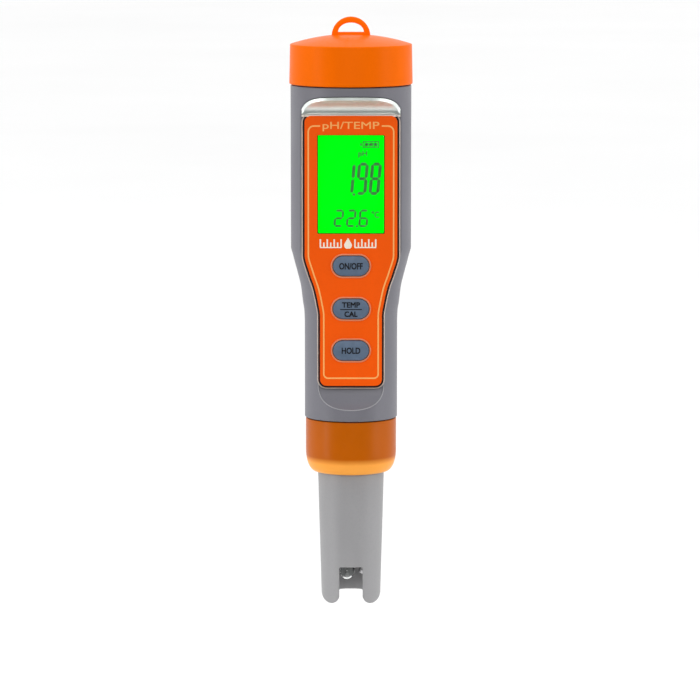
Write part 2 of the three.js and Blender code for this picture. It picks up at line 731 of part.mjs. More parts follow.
function referenceJunction() {
  const { place, radius } = SENSORS.junction;
  return post(radius, JUNCTION.bottom, JUNCTION.top, place, SMALL_ROUND);
}

function pinPlaces() {
  return Array.from({ length: PINS.count }, (_, i) => {
    const angle = ((i + 0.5) * 2 * Math.PI) / PINS.count;
    return [PINS.circle * Math.cos(angle), PINS.circle * Math.sin(angle)];
  });
}

function probePlug() {
  const [bottom, top] = [PLUG.bottom - OVERCUT, PLUG.top + OVERCUT];
  const holes = pinPlaces().map((place) => post(PINS.radius + GAP, bottom, top, place, 10));
  return cut(post(PROBE_INSIDE.bore - GAP, PLUG.bottom, PLUG.top), ...holes);
}

function connectorSocket() {
  const { bottom, top, fit, holeBottom, holeTop, holeFit } = SOCKET;
  const holes = pinPlaces().map((place) => post(PINS.radius + holeFit, holeBottom, holeTop, place, 10));
  return cut(post(PROBE_SPIGOT.bore - fit, bottom, top), ...holes);
}

// ---------------------------------------------------------------- assembly

const meter = new THREE.Group();
meter.position.z = -(LOOP_HOLE.bottom + LOOP_HOLE.height / 2);

function add(name, solid, material) {
  const mesh = new THREE.Mesh(toGeometry(solid), material);
  mesh.name = name;
  meter.add(mesh);
}

add('housing_shell', housingShell(), plastic(GREY, 0.45));
add('bezel_trim', bezelTrim(), metal('#d9d4cb', 0.25));
add('front_overlay', frontOverlay(), plastic(OVERLAY_ORANGE, 0.4));
add('display_window', displayWindow(), clear('#dfe8df', 0.25));

for (const [name, centreZ] of Object.entries(BUTTONS)) {
  add(name, buttonCap(centreZ), plastic(RUBBER, 0.6));
  add(name.replace('button', 'contact'), contactPill(centreZ), plastic(BLACK, 0.8));
}
add('keypad_membrane', keypadMembrane(), plastic('#8f939a', 0.7));

add('lcd_glass', lcdGlass(), clear('#9fdc8f', 0.6));
add('backlight', backlight(), new THREE.MeshStandardMaterial({ color: '#00ff00', emissive: '#00c800' }));
add('zebra_strip_upper', zebraStrip(1), plastic('#d77a9a', 0.8));
add('zebra_strip_lower', zebraStrip(-1), plastic('#d77a9a', 0.8));
add('main_board', mainBoard(), plastic('#1f6b3a', 0.5));
add('controller_chip', chip(CHIPS.controller_chip), plastic(BLACK, 0.5));
add('amplifier_chip', chip(CHIPS.amplifier_chip), plastic(BLACK, 0.5));
add('crystal', chip(CHIPS.crystal), metal(STEEL, 0.3));
add('capacitor_left', capacitor(-1), metal('#a8a9ab', 0.4));
add('capacitor_right', capacitor(1), metal('#a8a9ab', 0.4));
add('backlight_led', backlightLed(), plastic('#f4f4e6', 0.3));
add('inner_tray', innerTray(), plastic('#2b2c30', 0.6));
for (const [name, place] of Object.entries(SCREWS)) {
  add(name, boardScrew(place), metal(STEEL, 0.3));
}

add('battery_holder', batteryHolder(), plastic('#26272a', 0.6));
for (const [side, x] of [['left', -WELL.side], ['right', WELL.side]]) {
  const turnedOver = side === 'right';
  const upper = CELL.lower + CELL.height + GAP;
  add(`cell_${side}_lower`, buttonCell(x, CELL.lower, turnedOver), metal('#c9cacb', 0.25));
  add(`cell_${side}_upper`, buttonCell(x, upper, turnedOver), metal('#c9cacb', 0.25));
  add(`battery_spring_${side}`, batterySpring(x), metal(STEEL, 0.3));
}
add('battery_lead_red', batteryLead(LEAD.side), plastic('#b01818', 0.5));
add('battery_lead_black', batteryLead(-LEAD.side), plastic(BLACK, 0.5));

add('battery_cap', batteryCap(), plastic(ORANGE, 0.35));
add('cap_seal', ring(CAP_SEAL.centreRadius, CAP_SEAL.section, CAP_SEAL.height), plastic(BLACK, 0.7));
add('cap_contact_plate', contactPlate(), metal('#cfc9b0', 0.3));

add('connector_socket', connectorSocket(), plastic('#303136', 0.5));
add('probe_ribbon', probeRibbon(), plastic('#e8e6df', 0.5));
add('collar', collar(), plastic(ORANGE, 0.35));
add('probe_body', probeBody(), plastic(PROBE_GREY, 0.45));
add('probe_seal', probeSeal(), plastic(BLACK, 0.7));
add('glass_electrode', glassElectrode(), clear('#e9f2f5', 0.35));
add('electrode_wire', electrodeWire(), metal('#c8c8c8', 0.3));
add('reference_junction', referenceJunction(), plastic('#efe9dc', 0.9));
add('reference_wire', referenceWire(), metal('#c8c8c8', 0.3));
add('temperature_sensor', temperatureSensor(), metal('#8d8f92', 0.3));
add('probe_plug', probePlug(), plastic('#303136', 0.5));
pinPlaces().forEach((place, i) => {
  add(`probe_pin_${i + 1}`, post(PINS.radius, PINS.bottom, PINS.top, place, 8), metal('#d6b45a', 0.25));
});

export default meter;
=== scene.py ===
"""Looks of the pocket pH meter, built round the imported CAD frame.

Shapes are worked out in millimetres: x across the meter, depth forwards (-Y) from its centre line, and
height up from the same datum as in the CAD, just under the probe's prongs. They turn into metres in the
row frame when a mesh is made.
"""

import math
from types import SimpleNamespace as Sizes

import bmesh
import bpy
import numpy as np
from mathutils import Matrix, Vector
from mathutils.geometry import tessellate_polygon


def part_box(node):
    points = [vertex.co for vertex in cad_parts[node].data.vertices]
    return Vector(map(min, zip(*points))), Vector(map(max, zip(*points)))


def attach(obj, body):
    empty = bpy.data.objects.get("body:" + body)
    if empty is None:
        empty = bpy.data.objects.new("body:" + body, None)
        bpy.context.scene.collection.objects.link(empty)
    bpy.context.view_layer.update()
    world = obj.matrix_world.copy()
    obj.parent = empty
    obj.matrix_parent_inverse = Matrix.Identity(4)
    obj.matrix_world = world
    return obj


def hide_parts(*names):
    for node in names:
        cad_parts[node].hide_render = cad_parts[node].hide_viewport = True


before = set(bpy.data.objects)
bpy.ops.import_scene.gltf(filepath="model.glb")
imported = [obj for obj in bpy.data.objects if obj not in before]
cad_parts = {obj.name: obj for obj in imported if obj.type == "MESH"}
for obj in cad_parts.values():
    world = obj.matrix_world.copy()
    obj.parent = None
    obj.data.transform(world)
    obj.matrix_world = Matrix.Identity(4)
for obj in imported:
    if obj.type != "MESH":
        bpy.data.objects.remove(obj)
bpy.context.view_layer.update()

MM = 0.001
TOTAL_HEIGHT = 182.8  # from the datum to the top of the loop
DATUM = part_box("battery_cap")[1].z - TOTAL_HEIGHT * MM


def span(node):
    """A CAD node's limits in millimetres: (lowest, highest) of x, of depth and of height."""
    low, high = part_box(node)
    return (
        (low.x / MM, high.x / MM),
        (-high.y / MM, -low.y / MM),
        ((low.z - DATUM) / MM, (high.z - DATUM) / MM),
    )


# ---------------------------------------------------------------- driving sizes, as in the CAD

CAP = Sizes(radius=19, top_radius=18.75, bottom=162.2, rim=174.4, apex=177.4, roof=172.6)
CAP_INSIDE = Sizes(bore=16.5, seat=17.7, seat_top=164.2, boss=4, pin=1.8, pin_top=172.3)
CAP_THREAD = (164.3, 172)
BOSS_FOOT = 169
LOOP = Sizes(radius=5.95, centre=176.85, half=1.2, hole=(3.95, 2.9), hole_bottom=178.1, root=175)
BODY = Sizes(radius=18.6, bore=16.8, top=161.9)
NECK = Sizes(radius=14.3, bore=12.5, bottom=59, floor=61)
SHOULDER = [  # (radius, height)
    (14.3, 88), (14.4, 91.5), (14.9, 95.2), (15.5, 99.9), (16.4, 103.6), (17.8, 108.9), (18.6, 112.5),
]
SHOULDER_ROWS = np.arange(89, 112, 0.6)
HOUSING_INSIDE = Sizes(mouth=160.2, roof=158.5, shoulder_top=110.5, shoulder_foot=92)
CAP_SPIGOT = Sizes(radius=15.4, bore=13.9, top=170.5)
PROBE_SPIGOT = Sizes(radius=11.1, bore=9.6, bottom=48.1)
COLLAR = Sizes(radius=14, lip=10.95, opening=10.6, bore=12.2, bottom=42, straight=48.5)
COLLAR_SHELF = 46
COLLAR_THREAD = (51, 59)  # heights between which its rows are close enough to carry the ridges
PROBE = Sizes(end=1.1, tip=9.1, radius=10.25, taper_top=42, tip_bore=7.2, bore=7.6, top=54)
PLUG_RADIUS = 9.2
FLANGE = Sizes(radius=11.6, bottom=46.3, top=47.8)
SEAL_GROOVE = Sizes(radius=8.2, bottom=49.2, top=50.9)
BULKHEAD = (13.3, 16.5)
SLOT = Sizes(half=3.6, front_top=12.8, rear_top=3.2)
FLAT = Sizes(depth=10.2, bottom=69.6, top=153.4, wall=8.7, wall_top=160)
SCOOP = 8
RAMP = Sizes(centre=19, reach=8.8, rise=5.9)
BAND = Sizes(back=0.1, front=1.2, half=15.1, outside=18.5)
OVERLAY_SIDE = [  # (half width, height)
    (9.7, 69.7), (9.7, 91.5), (10.3, 95.4), (11.3, 99.9), (12.9, 104.6), (14.4, 110.4), (14.4, 153.3),
]
OVERLAY_CORNER = 2.2
OVERLAY_INSET = 0.2  # shows the dark strip between the orange sheet and the silver rim, which stands in for the shadow in that gap: painted shade
SENSORS = {"electrode": (-1.3, 1.0, 2.3), "temperature": (3.6, -1.5, 1.5), "junction": (0.2, -4.3, 1.3)}

# Screw ridges: the radius of the wall each stands on, with its top and how far it stands off.
RIDGES = {15.4: (169.7, 0.7), 11.1: (56.5, 0.7), 16.5: (171.2, -0.7), 12.2: (58.0, -0.7)}
RIDGE = Sizes(pitch=3, turns=2, root=0.9, crest=0.5, fade=0.04)

BUTTONS = ("button_on_off", "button_temp_cal", "button_hold")
SOFT_EDGE = 0.4  # how far from its edge the flat front starts to round over
HOLD = 0.04  # ring that keeps a flat face's shading flat up to its rounded edge
PRINT_BACK, PRINT_RISE = 0.02, 0.03  # how far a print is sunk into its surface and stands off it
AXIS_GAP = 0.05  # a turned outline stops this far from its axis
FAR = 99.0  # a depth that cuts nothing
FLOOR_DROP = 0.027  # metres from the prongs down to the floor


# ---------------------------------------------------------------- outlines


def eased(corners, closed=True, steps=5):
    """Outline through corners, each (x, y) or (x, y, radius of its rounding)."""
    points = []
    for i, corner in enumerate(corners):
        here = np.array(corner[:2], float)
        at_end = not closed and i in (0, len(corners) - 1)
        if len(corner) < 3 or at_end:
            points.append(here)
            continue
        before = np.array(corners[i - 1][:2], float) - here
        after = np.array(corners[(i + 1) % len(corners)][:2], float) - here
        lengths = np.linalg.norm(before), np.linalg.norm(after)
        half = math.acos(np.clip(before @ after / (lengths[0] * lengths[1]), -1, 1)) / 2
        reach = min(corner[2] / math.tan(half), 0.48 * lengths[0], 0.48 * lengths[1])
        start = here + before / lengths[0] * reach
        end = here + after / lengths[1] * reach
        for t in np.linspace(0, 1, steps + 1):
            a, b, c = (1 - t) ** 2, 2 * t * (1 - t) * math.sin(half), t * t
            points.append((start * a + here * b + end * c) / (a + b + c))
    return np.array(points)


def profile(*corners):
    """Open outline through corners, as for a turned wall."""
    return eased(corners, closed=False)


def arc(centre, radii, start, end, steps):
    """Points on an elliptical arc, with its angles in degrees."""
    angles = np.radians(np.linspace(start, end, steps + 1))
    return [(centre[0] + radii[0] * math.cos(a), centre[1] + radii[1] * math.sin(a)) for a in angles]


def refined(outline, step):
    """Open outline with its long stretches cut up; step(height) is the longest allowed there."""
    points = []
    for a, b in zip(outline[:-1], outline[1:]):
        length, gone = np.linalg.norm(b - a), 0.0
        while gone < length - 1e-6:
            points.append(a + (b - a) * gone / length)
            gone += step(points[-1][1])
            if length - gone < 0.4 * step(b[1]):
                gone = length
    return np.array(points + [outline[-1]])


def smooth_width(table, height):
    """Monotone cubic curve through a table of (width, height) rows."""
    widths, heights = np.array(table, float).T
    slopes = np.diff(widths) / np.diff(heights)
    tangents = np.zeros(len(widths))
    pairs = slopes[:-1] * slopes[1:]
    rising = pairs > 0
    tangents[1:-1][rising] = 2 * pairs[rising] / (slopes[:-1] + slopes[1:])[rising]
    i = int(np.clip(np.searchsorted(heights, height) - 1, 0, len(heights) - 2))
    step = heights[i + 1] - heights[i]
    t = min(max((height - heights[i]) / step, 0), 1)
    rise = t * t * (3 - 2 * t)
    bend = step * (t * (1 - t) ** 2 * tangents[i] - t * t * (1 - t) * tangents[i + 1])
    return widths[i] * (1 - rise) + widths[i + 1] * rise + bend


def unit(rows):
    """Rows of a table scaled to length 1."""
    return rows / np.linalg.norm(rows, axis=1)[:, None]


def offset(outline, distance):
    """Closed outline moved inwards by a distance, or outwards by a negative one."""
    ahead = unit(np.roll(outline, -1, 0) - outline)
    behind = np.roll(ahead, 1, 0)
    area = np.sum(outline[:, 0] * np.roll(outline[:, 1], -1) - outline[:, 1] * np.roll(outline[:, 0], -1))
    inwards = (np.column_stack((-ahead[:, 1], ahead[:, 0])), np.column_stack((-behind[:, 1], behind[:, 0])))
    miter = unit(inwards[0] + inwards[1])
    stretch = 1 / np.maximum(np.sum(miter * inwards[0], axis=1), 0.4)
    return outline + miter * (stretch * distance * math.copysign(1, area))[:, None]


def rectangle(width, height, centre, corner):
    x, z = width / 2, height / 2
    places = [(-x, -z), (x, -z), (x, z), (-x, z)]
    return eased([(centre[0] + dx, centre[1] + dz, corner) for dx, dz in places])


def pill(width, height, centre, steps=20):
    """Rectangle whose short ends are half circles, with its points spread along the ends."""
    reach, radius = (width - height) / 2, height / 2
    right = arc((centre[0] + reach, centre[1]), (radius, radius), -90, 90, steps)
    left = arc((centre[0] - reach, centre[1]), (radius, radius), 90, 270, steps)
    return np.array(right + left)


def overlay_outline():
    """Outline of the orange sheet: a straight lower part, a curved shoulder and a straight upper part."""
    low, high = OVERLAY_SIDE[0], OVERLAY_SIDE[-1]
    side = [(smooth_width(OVERLAY_SIDE, z), z) for z in np.arange(low[1] + 21, 111, 0.6)]
    right = [(*low, OVERLAY_CORNER), *side, (*high, OVERLAY_CORNER)]
    left = [(-corner[0], *corner[1:]) for corner in reversed(right)]
    return eased(right + left)


# ---------------------------------------------------------------- solids as (points, faces)


def skin(lower, upper):
    """Faces between rows of point numbers, each row a closed ring."""
    corners = (lower, np.roll(lower, -1, 1), np.roll(upper, -1, 1), upper)
    return np.stack(corners, -1).reshape(-1, 4).tolist()


def loft(rings, wrap=False):
    """Solid skinned over closed rings of points. With wrap the ends meet, or else each is filled."""
    rings = np.asarray(rings, float)
    count, around = rings.shape[:2]
    index = np.arange(count * around).reshape(count, around)
    faces = skin(index, np.roll(index, -1, 0)) if wrap else skin(index[:-1], index[1:])
    points = rings.reshape(-1, 3)
    if not wrap:
        for ring, backwards in ((0, True), (count - 1, False)):
            middle = len(points)
            points = np.vstack((points, rings[ring].mean(0)))
            for a, b in zip(index[ring], np.roll(index[ring], -1)):
                faces.append([int(b), int(a), middle] if backwards else [int(a), int(b), middle])
    return points, faces


def at_depth(outline, depth):
    """A front-view outline as a ring of points at one depth."""
    return np.column_stack((outline[:, 0], np.full(len(outline), depth), outline[:, 1]))


def rounded_steps(back, front, radius, back_radius=0.1, steps=4):
    """(inset, depth) steps up a plate's wall, with a small easing behind and a rounded front edge."""
    walls = [(back_radius + HOLD, back), (back_radius, back), (0, back + back_radius)]
    for angle in np.linspace(0, math.pi / 2, steps + 1):
        walls.append((radius * (1 - math.cos(angle)), front - radius * (1 - math.sin(angle))))
    return walls + [(radius + HOLD, front)]


def sheet(outer, steps, holes=()):
    """Plate between its outer wall and its holes' walls. Each hole is (outline, steps)."""
    stacks = [[at_depth(offset(outer, inset), depth) for inset, depth in steps]]
    for outline, hole_steps in holes:
        stacks.append([at_depth(offset(outline, -inset), depth) for inset, depth in hole_steps])
    points, faces, fronts, backs = [], [], [], []
    start = 0
    for stack in stacks:
        count, around = len(stack), len(stack[0])
        index = start + np.arange(count * around).reshape(count, around)
        faces += skin(index[:-1], index[1:])
        points += stack
        backs.append(index[0])
        fronts.append(index[-1])
        start += count * around
    points = np.vstack(points)
    for rings in (backs, fronts):
        order = np.concatenate(rings)
        loops = [[Vector((points[i][0], points[i][2], 0)) for i in ring] for ring in rings]
        faces += [[int(order[i]) for i in corner] for corner in tessellate_polygon(loops)]
    return points, faces


def strip(path, width, back, front):
    """Thin raised line of even width along an open front-view path."""
    path = np.array(path, float)
    along = unit(np.gradient(path, axis=0))
    across = np.column_stack((-along[:, 1], along[:, 0])) * width / 2
    rings = []
    for place, side in zip(path, across):
        corners = [(place - side, back), (place - side, front), (place + side, front), (place + side, back)]
        rings.append([(xz[0], depth, xz[1]) for xz, depth in corners])
    return loft(rings)


def placed(name, data):
    """New object in the scene."""
    obj = bpy.data.objects.new(name, data)
    bpy.context.scene.collection.objects.link(obj)
    return obj


def evaluated(obj):
    """New mesh of the object as it looks with its modifiers."""
    return bpy.data.meshes.new_from_object(obj.evaluated_get(bpy.context.evaluated_depsgraph_get()))


def lettering(text, size, centre, depth, thickness):
    """Plain raised letters that fill size (width, height) round a centre, from a depth forwards."""
    curve = bpy.data.curves.new("letters", "FONT")
    curve.body = text
    curve.extrude = 0.5
    curve.resolution_u = 4
    holder = placed("letters", curve)
    mesh = evaluated(holder)
    points = np.array([v.co for v in mesh.vertices], float)
    faces = [list(p.vertices) for p in mesh.polygons]
    bpy.data.objects.remove(holder)
    bpy.data.meshes.remove(mesh)
    bpy.data.curves.remove(curve)
    low, high = points.min(0), points.max(0)
    unit = (points - (low + high) / 2) / (high - low)
    x = centre[0] + unit[:, 0] * size[0]
    z = centre[1] + unit[:, 1] * size[1]
    return np.column_stack((x, depth + (unit[:, 2] + 0.5) * thickness, z)), faces


def together(*solids):
    """Several solids as one list of points and faces."""
    points, faces = [], []
    for solid_points, solid_faces in solids:
        start = sum(len(p) for p in points)
        points.append(solid_points)
        faces += [[start + i for i in face] for face in solid_faces]
    return np.vstack(points), faces


def full_turn(count):
    return np.arange(count) * math.tau / count


def ridge(wall, angles, height):
    """How far the screw ridge on a wall stands off it. Angles run from the front towards +X."""
    if wall not in RIDGES:
        return np.zeros(len(angles))
    top, reach = RIDGES[wall]
    turn = ((angles - math.pi / 2) / math.tau) % 1
    flank = (RIDGE.root - RIDGE.crest) / 2
    stand = np.zeros(len(angles))
    for lap in range(1, RIDGE.turns + 1):
        from_centre = np.abs(height - top - RIDGE.pitch * (turn - lap))
        along = lap - turn
        ends = np.clip(np.minimum(along, RIDGE.turns - along) / RIDGE.fade, 0, 1)
        stand = np.maximum(stand, np.clip((RIDGE.root / 2 - from_centre) / flank, 0, 1) * ends)
    return reach * stand


def turned(outline, angles, limit=None):
    """Rings of a turned wall with its screw ridges. limit(height) is how deep a flat front cuts it."""
    rings = []
    for radius, height in outline:
        around = radius + ridge(round(float(radius), 6), angles, height)
        if limit is not None:
            around = soft_least(around, limit(height) / np.maximum(np.cos(angles), 1e-3))
        level = np.full(len(angles), height)
        rings.append(np.column_stack((around * np.sin(angles), around * np.cos(angles), level)))
    return rings


def soft_least(a, b):
    """The lesser of two radii, rounded over where they meet."""
    overlap = np.maximum(SOFT_EDGE - np.abs(a - b), 0)
    return np.minimum(a, b) - overlap**2 / (4 * SOFT_EDGE)


def rod(path, radius, around=10):
    """Round rod along a smooth open path of (x, depth, height) points."""
    path = np.array(path, float)
    along = unit(np.gradient(path, axis=0))
    side = unit(np.cross(along, (0, 1, 0)))
    rise = np.cross(side, along)
    spokes = [math.cos(a) * side + math.sin(a) * rise for a in full_turn(around)]
    return loft(np.stack([path + radius * spoke for spoke in spokes], axis=1))


def lip(outline, width, back, front, steps=6):
    """Rounded bead of a given width that stands outside a closed front-view outline."""
    rings = [at_depth(outline, back)]
    for angle in np.linspace(0, math.pi, steps + 1):
        reach = width * (1 - math.cos(angle)) / 2
        rings.append(at_depth(offset(outline, -reach), front - width / 2 * (1 - math.sin(angle))))
    rings.append(at_depth(offset(outline, -width), back))
    return loft(rings, wrap=True)


def upright(radius, bottom, top, centre=(0, 0), around=24):
    """Round rod standing at (x, depth)."""
    angles = full_turn(around)
    level = np.column_stack((centre[0] + radius * np.sin(angles), centre[1] + radius * np.cos(angles)))
    return loft([np.column_stack((level, np.full(around, z))) for z in (bottom, top)])


# ---------------------------------------------------------------- Blender objects


def made(name, solid):
    """Mesh object from a solid in millimetres."""
    points, faces = solid
    row = np.column_stack((points[:, 0], -points[:, 1], points[:, 2])) * MM + (0, 0, DATUM)
    mesh = bpy.data.meshes.new(name)
    mesh.from_pydata(row.tolist(), [], faces)
    return cleaned(placed(name, mesh))


def cleaned(obj, smooth=38):
    """Merges doubled points, turns faces outwards and shades curves smooth up to an angle in degrees."""
    edit = bmesh.new()
    edit.from_mesh(obj.data)
    bmesh.ops.remove_doubles(edit, verts=edit.verts, dist=2e-7)
    bmesh.ops.dissolve_degenerate(edit, edges=edit.edges, dist=1e-7)
    bmesh.ops.recalc_face_normals(edit, faces=edit.faces)
    edit.to_mesh(obj.data)
    edit.free()
    obj.data.shade_smooth()
    obj.data.set_sharp_from_angle(angle=math.radians(smooth))
    return obj


def modified(obj, kind, **settings):
    """Runs one modifier into the object's own mesh."""
    modifier = obj.modifiers.new(kind, kind)
    for label, value in settings.items():
        setattr(modifier, label, value)
    old, obj.data = obj.data, evaluated(obj)
    obj.modifiers.clear()
    bpy.data.meshes.remove(old)


def carved(obj, operation, *tools):
    """Cuts, joins or intersects obj with each tool, which is used up."""
    for tool in tools:
        modified(obj, "BOOLEAN", operation=operation, solver="EXACT", object=tool)
        bpy.data.objects.remove(tool)
    return cleaned(obj)


def bold(name, weight, *words):
    """Flat lettering thickened all round by a weight, as the union of copies moved apart."""
    copies = []
    for dx, dz in ((-1, -1), (-1, 1), (1, -1), (1, 1)):
        points, faces = together(*words)
        copies.append(made(name, (points + (dx * weight, 0, dz * weight), faces)))
    return carved(copies[0], "UNION", *copies[1:])


def shown(obj, body, material, slot_name, *nodes):
    """Gives the piece its material, its body and the CAD nodes it stands for."""
    obj.data.materials.clear()
    obj.data.materials.append(material)
    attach(obj, body)
    if nodes:
        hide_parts(*nodes)
    return obj


# ---------------------------------------------------------------- materials


class Nodes:
    """The shader nodes of a material or of the world."""

    def __init__(self, owner):
        owner.use_nodes = True
        self.tree = owner.node_tree

    def feed(self, socket, value):
        """Gives a socket a number, a place, a colour or another node's output."""
        if isinstance(value, bpy.types.NodeSocket):
            self.tree.links.new(value, socket)
        else:
            socket.default_value = (*value, 1) if socket.type == "RGBA" else value

    def node(self, kind, inputs, **settings):
        new = self.tree.nodes.new(kind)
        for label, value in settings.items():
            setattr(new, label, value)
        for label, value in inputs.items():
            self.feed(new.inputs[label], value)
        return new

    def ranged(self, value, low, high, start=0.3, end=0.7):
        """A texture value spread over a new range."""
        inputs = {"From Min": start, "From Max": end, "To Min": low, "To Max": high, "Value": value}
        return self.node("ShaderNodeMapRange", inputs).outputs["Result"]

    def maths(self, operation, *values):
        return self.node("ShaderNodeMath", dict(enumerate(values)), operation=operation).outputs["Value"]


class Surface(Nodes):
    """A Principled material with its texture nodes, in object space so that it rides with its piece."""

    def __init__(self, name, roughness=0.5, metallic=0.0, **sockets):
        self.material = bpy.data.materials.new(name)
        super().__init__(self.material)
        self.shader = self.tree.nodes["Principled BSDF"]
        self.place = self.node("ShaderNodeTexCoord", {}).outputs["Object"]
        for label, value in {"Roughness": roughness, "Metallic": metallic, **sockets}.items():
            self.shows(label.replace("_", " "), value)

    def shows(self, label, value):
        """Sets one of the shader's sockets."""
        self.feed(self.shader.inputs[label], value)

    def stretched(self, scale):
        """Object coordinates scaled differently along each axis."""
        return self.node("ShaderNodeMapping", {"Scale": scale, "Vector": self.place}).outputs["Vector"]

    def noise(self, size, detail=3.0, place=None):
        """Noise whose features are about size millimetres across."""
        inputs = {"Scale": 1 / (size * MM), "Detail": detail, "Vector": place or self.place}
        return self.node("ShaderNodeTexNoise", inputs).outputs["Fac"]

    def cells(self, size):
        inputs = {"Scale": 1 / (size * MM), "Vector": self.place}
        return self.node("ShaderNodeTexVoronoi", inputs).outputs["Distance"]

    def height(self):
        """Height on the piece, in metres in the row frame."""
        return self.node("ShaderNodeSeparateXYZ", {"Vector": self.place}).outputs["Z"]

    def mixed(self, factor, first, second):
        """Colour between two, each a colour or an output of another node."""
        mix = self.node("ShaderNodeMix", {"Factor": factor}, data_type="RGBA")
        for label, colour in (("A", first), ("B", second)):
            self.feed(next(s for s in mix.inputs if s.name == label and s.type == "RGBA"), colour)
        return next(s for s in mix.outputs if s.type == "RGBA")

    def coloured(self, output):
        self.shows("Base Color", output)

    def rough(self, output):
        self.shows("Roughness", output)

    def drifting(self, size, detail, first, second):
        """Base colour that drifts between two in patches of a size."""
        self.coloured(self.mixed(self.ranged(self.noise(size, detail), 0, 1), first, second))

    def uneven(self, size, detail, low, high):
        """Roughness that wanders between two values in patches of a size."""
        self.rough(self.ranged(self.noise(size, detail), low, high))

    def bumped(self, *layers):
        """The finished material, with height layers, each (output, depth in millimetres)."""
        below = {}
        for height, depth in layers:
            inputs = {"Distance": depth * MM, "Strength": 1.0, "Height": height, **below}
            below = {"Normal": self.node("ShaderNodeBump", inputs).outputs["Normal"]}
        self.shows("Normal", below["Normal"])
        return self.material


def shade(colour, factor):
    return tuple(min(1.0, c * factor) for c in colour)


def moulded(name, colour, roughness, grain=0.35, grain_depth=0.004, tint=0.05, **sockets):
    """Moulded plastic: faint flow marks in its colour, fine grain, and handling marks in its gloss."""
    spread, scuffs = 0.06, 0.3
    s = Surface(name, roughness, **sockets)
    flow = s.noise(9, 4, s.stretched((1, 1, 0.35)))
    speck = s.noise(0.6, 2)
    body = s.mixed(s.ranged(flow, 0, 1), shade(colour, 1 - tint), shade(colour, 1 + tint))
    fine = s.mixed(s.ranged(speck, 0, 0.5, 0.45, 0.8), body, shade(colour, 1 - 2 * tint))
    s.coloured(fine)
    marks = s.noise(1.1, 6, s.stretched((1, 1, 3)))
    smears = s.ranged(s.noise(14, 3), 0, spread)
    s.rough(s.maths("ADD", s.ranged(marks, roughness - spread * scuffs, roughness + spread), smears))
    return s.bumped((s.noise(grain, 2), grain_depth), (s.noise(3.5, 2), grain_depth * 2))


def rubber(name, colour, roughness=0.6):
    """Silicone rubber: matt, with a dusty bloom and a soft pebbled skin."""
    s = Surface(name, roughness, Specular_IOR_Level=0.3)
    s.drifting(2.2, 5, shade(colour, 0.92), shade(colour, 1.12))
    s.uneven(0.8, 4, roughness - 0.08, roughness + 0.12)
    return s.bumped((s.cells(0.3), 0.006), (s.noise(1.5, 2), 0.01))


def metal(name, colour, roughness=0.3, stretch=(1, 1, 12), tarnish=0.15):
    """Plated metal with drawing marks along one axis and a little tarnish."""
    s = Surface(name, roughness, 1.0)
    brushed = s.noise(0.5, 4, s.stretched(stretch))
    s.drifting(3, 4, shade(colour, 1 - tarnish), colour)
    s.rough(s.ranged(brushed, roughness * 0.75, roughness * 1.35))
    return s.bumped((brushed, 0.003))


def clear(name, tint, roughness=0.03, ior=1.45):
    """Clear plastic or glass with faint wipe marks in its polish."""
    s = Surface(name, roughness, Transmission_Weight=1.0, IOR=ior)
    s.drifting(6, 3, shade(tint, 0.99), tint)
    wipes = s.noise(0.8, 5, s.stretched((1, 1, 0.15)))
    s.rough(s.ranged(wipes, roughness * 0.6, roughness * 1.8))
    return s.bumped((s.noise(5, 1), 0.002))


def printed(name, colour, roughness=0.45):
    """Screen-printed ink: slightly uneven cover with a fine tooth."""
    s = Surface(name, roughness, Specular_IOR_Level=0.2)
    s.drifting(0.4, 4, shade(colour, 0.93), colour)
    s.uneven(0.9, 3, roughness - 0.07, roughness + 0.07)
    return s.bumped((s.noise(0.15, 2), 0.002))


def lit_green():
    """Backlit display: green with the light guide's slight unevenness and the cell's fine pixels."""
    s = Surface("display_green", Emission_Strength=1.0, Specular_IOR_Level=0.0)
    glow = s.ranged(s.noise(16, 2), 0, 1)
    s.coloured(s.mixed(glow, (0.0, 0.16, 0.01), (0.0, 0.2, 0.01)))
    lit = s.mixed(glow, (0.0, 0.97, 0.0), (0.0, 1.0, 0.0))
    pixels = s.mixed(s.ranged(s.cells(0.25), 0, 0.25, 0.1, 0.6), lit, (0.0, 0.93, 0.0))
    s.shows("Emission Color", pixels)
    s.uneven(2, 3, 0.2, 0.32)
    return s.bumped((s.noise(0.3, 2), 0.001))


def circuit_board():
    """Solder mask over tracks that run in straight lanes, with pads in a dotted pattern."""
    s = Surface("circuit_board", 0.35, Coat_Weight=0.3)
    bricks = s.node("ShaderNodeTexBrick", {"Scale": 160, "Mortar Size": 0.012, "Vector": s.place})
    lanes = bricks.outputs["Fac"]
    tracks = s.mixed(lanes, (0.012, 0.12, 0.035), (0.03, 0.22, 0.07))
    pads = s.ranged(s.cells(2.1), 1, 0, 0.12, 0.16)
    s.coloured(s.mixed(pads, tracks, (0.7, 0.6, 0.25)))
    s.uneven(0.7, 3, 0.28, 0.45)
    return s.bumped((lanes, 0.02), (s.noise(0.3, 3), 0.004))


def zebra():
    """Layered rubber: thin dark and pink bands across the strip."""
    s = Surface("zebra_layers", 0.55)
    inputs = {"Scale": 700, "Distortion": 0.2, "Vector": s.place}
    bands = s.node("ShaderNodeTexWave", inputs, bands_direction="X").outputs["Fac"]
    s.coloured(s.mixed(bands, (0.05, 0.04, 0.045), (0.65, 0.2, 0.32)))
    s.uneven(0.6, 3, 0.45, 0.65)
    return s.bumped((bands, 0.01))


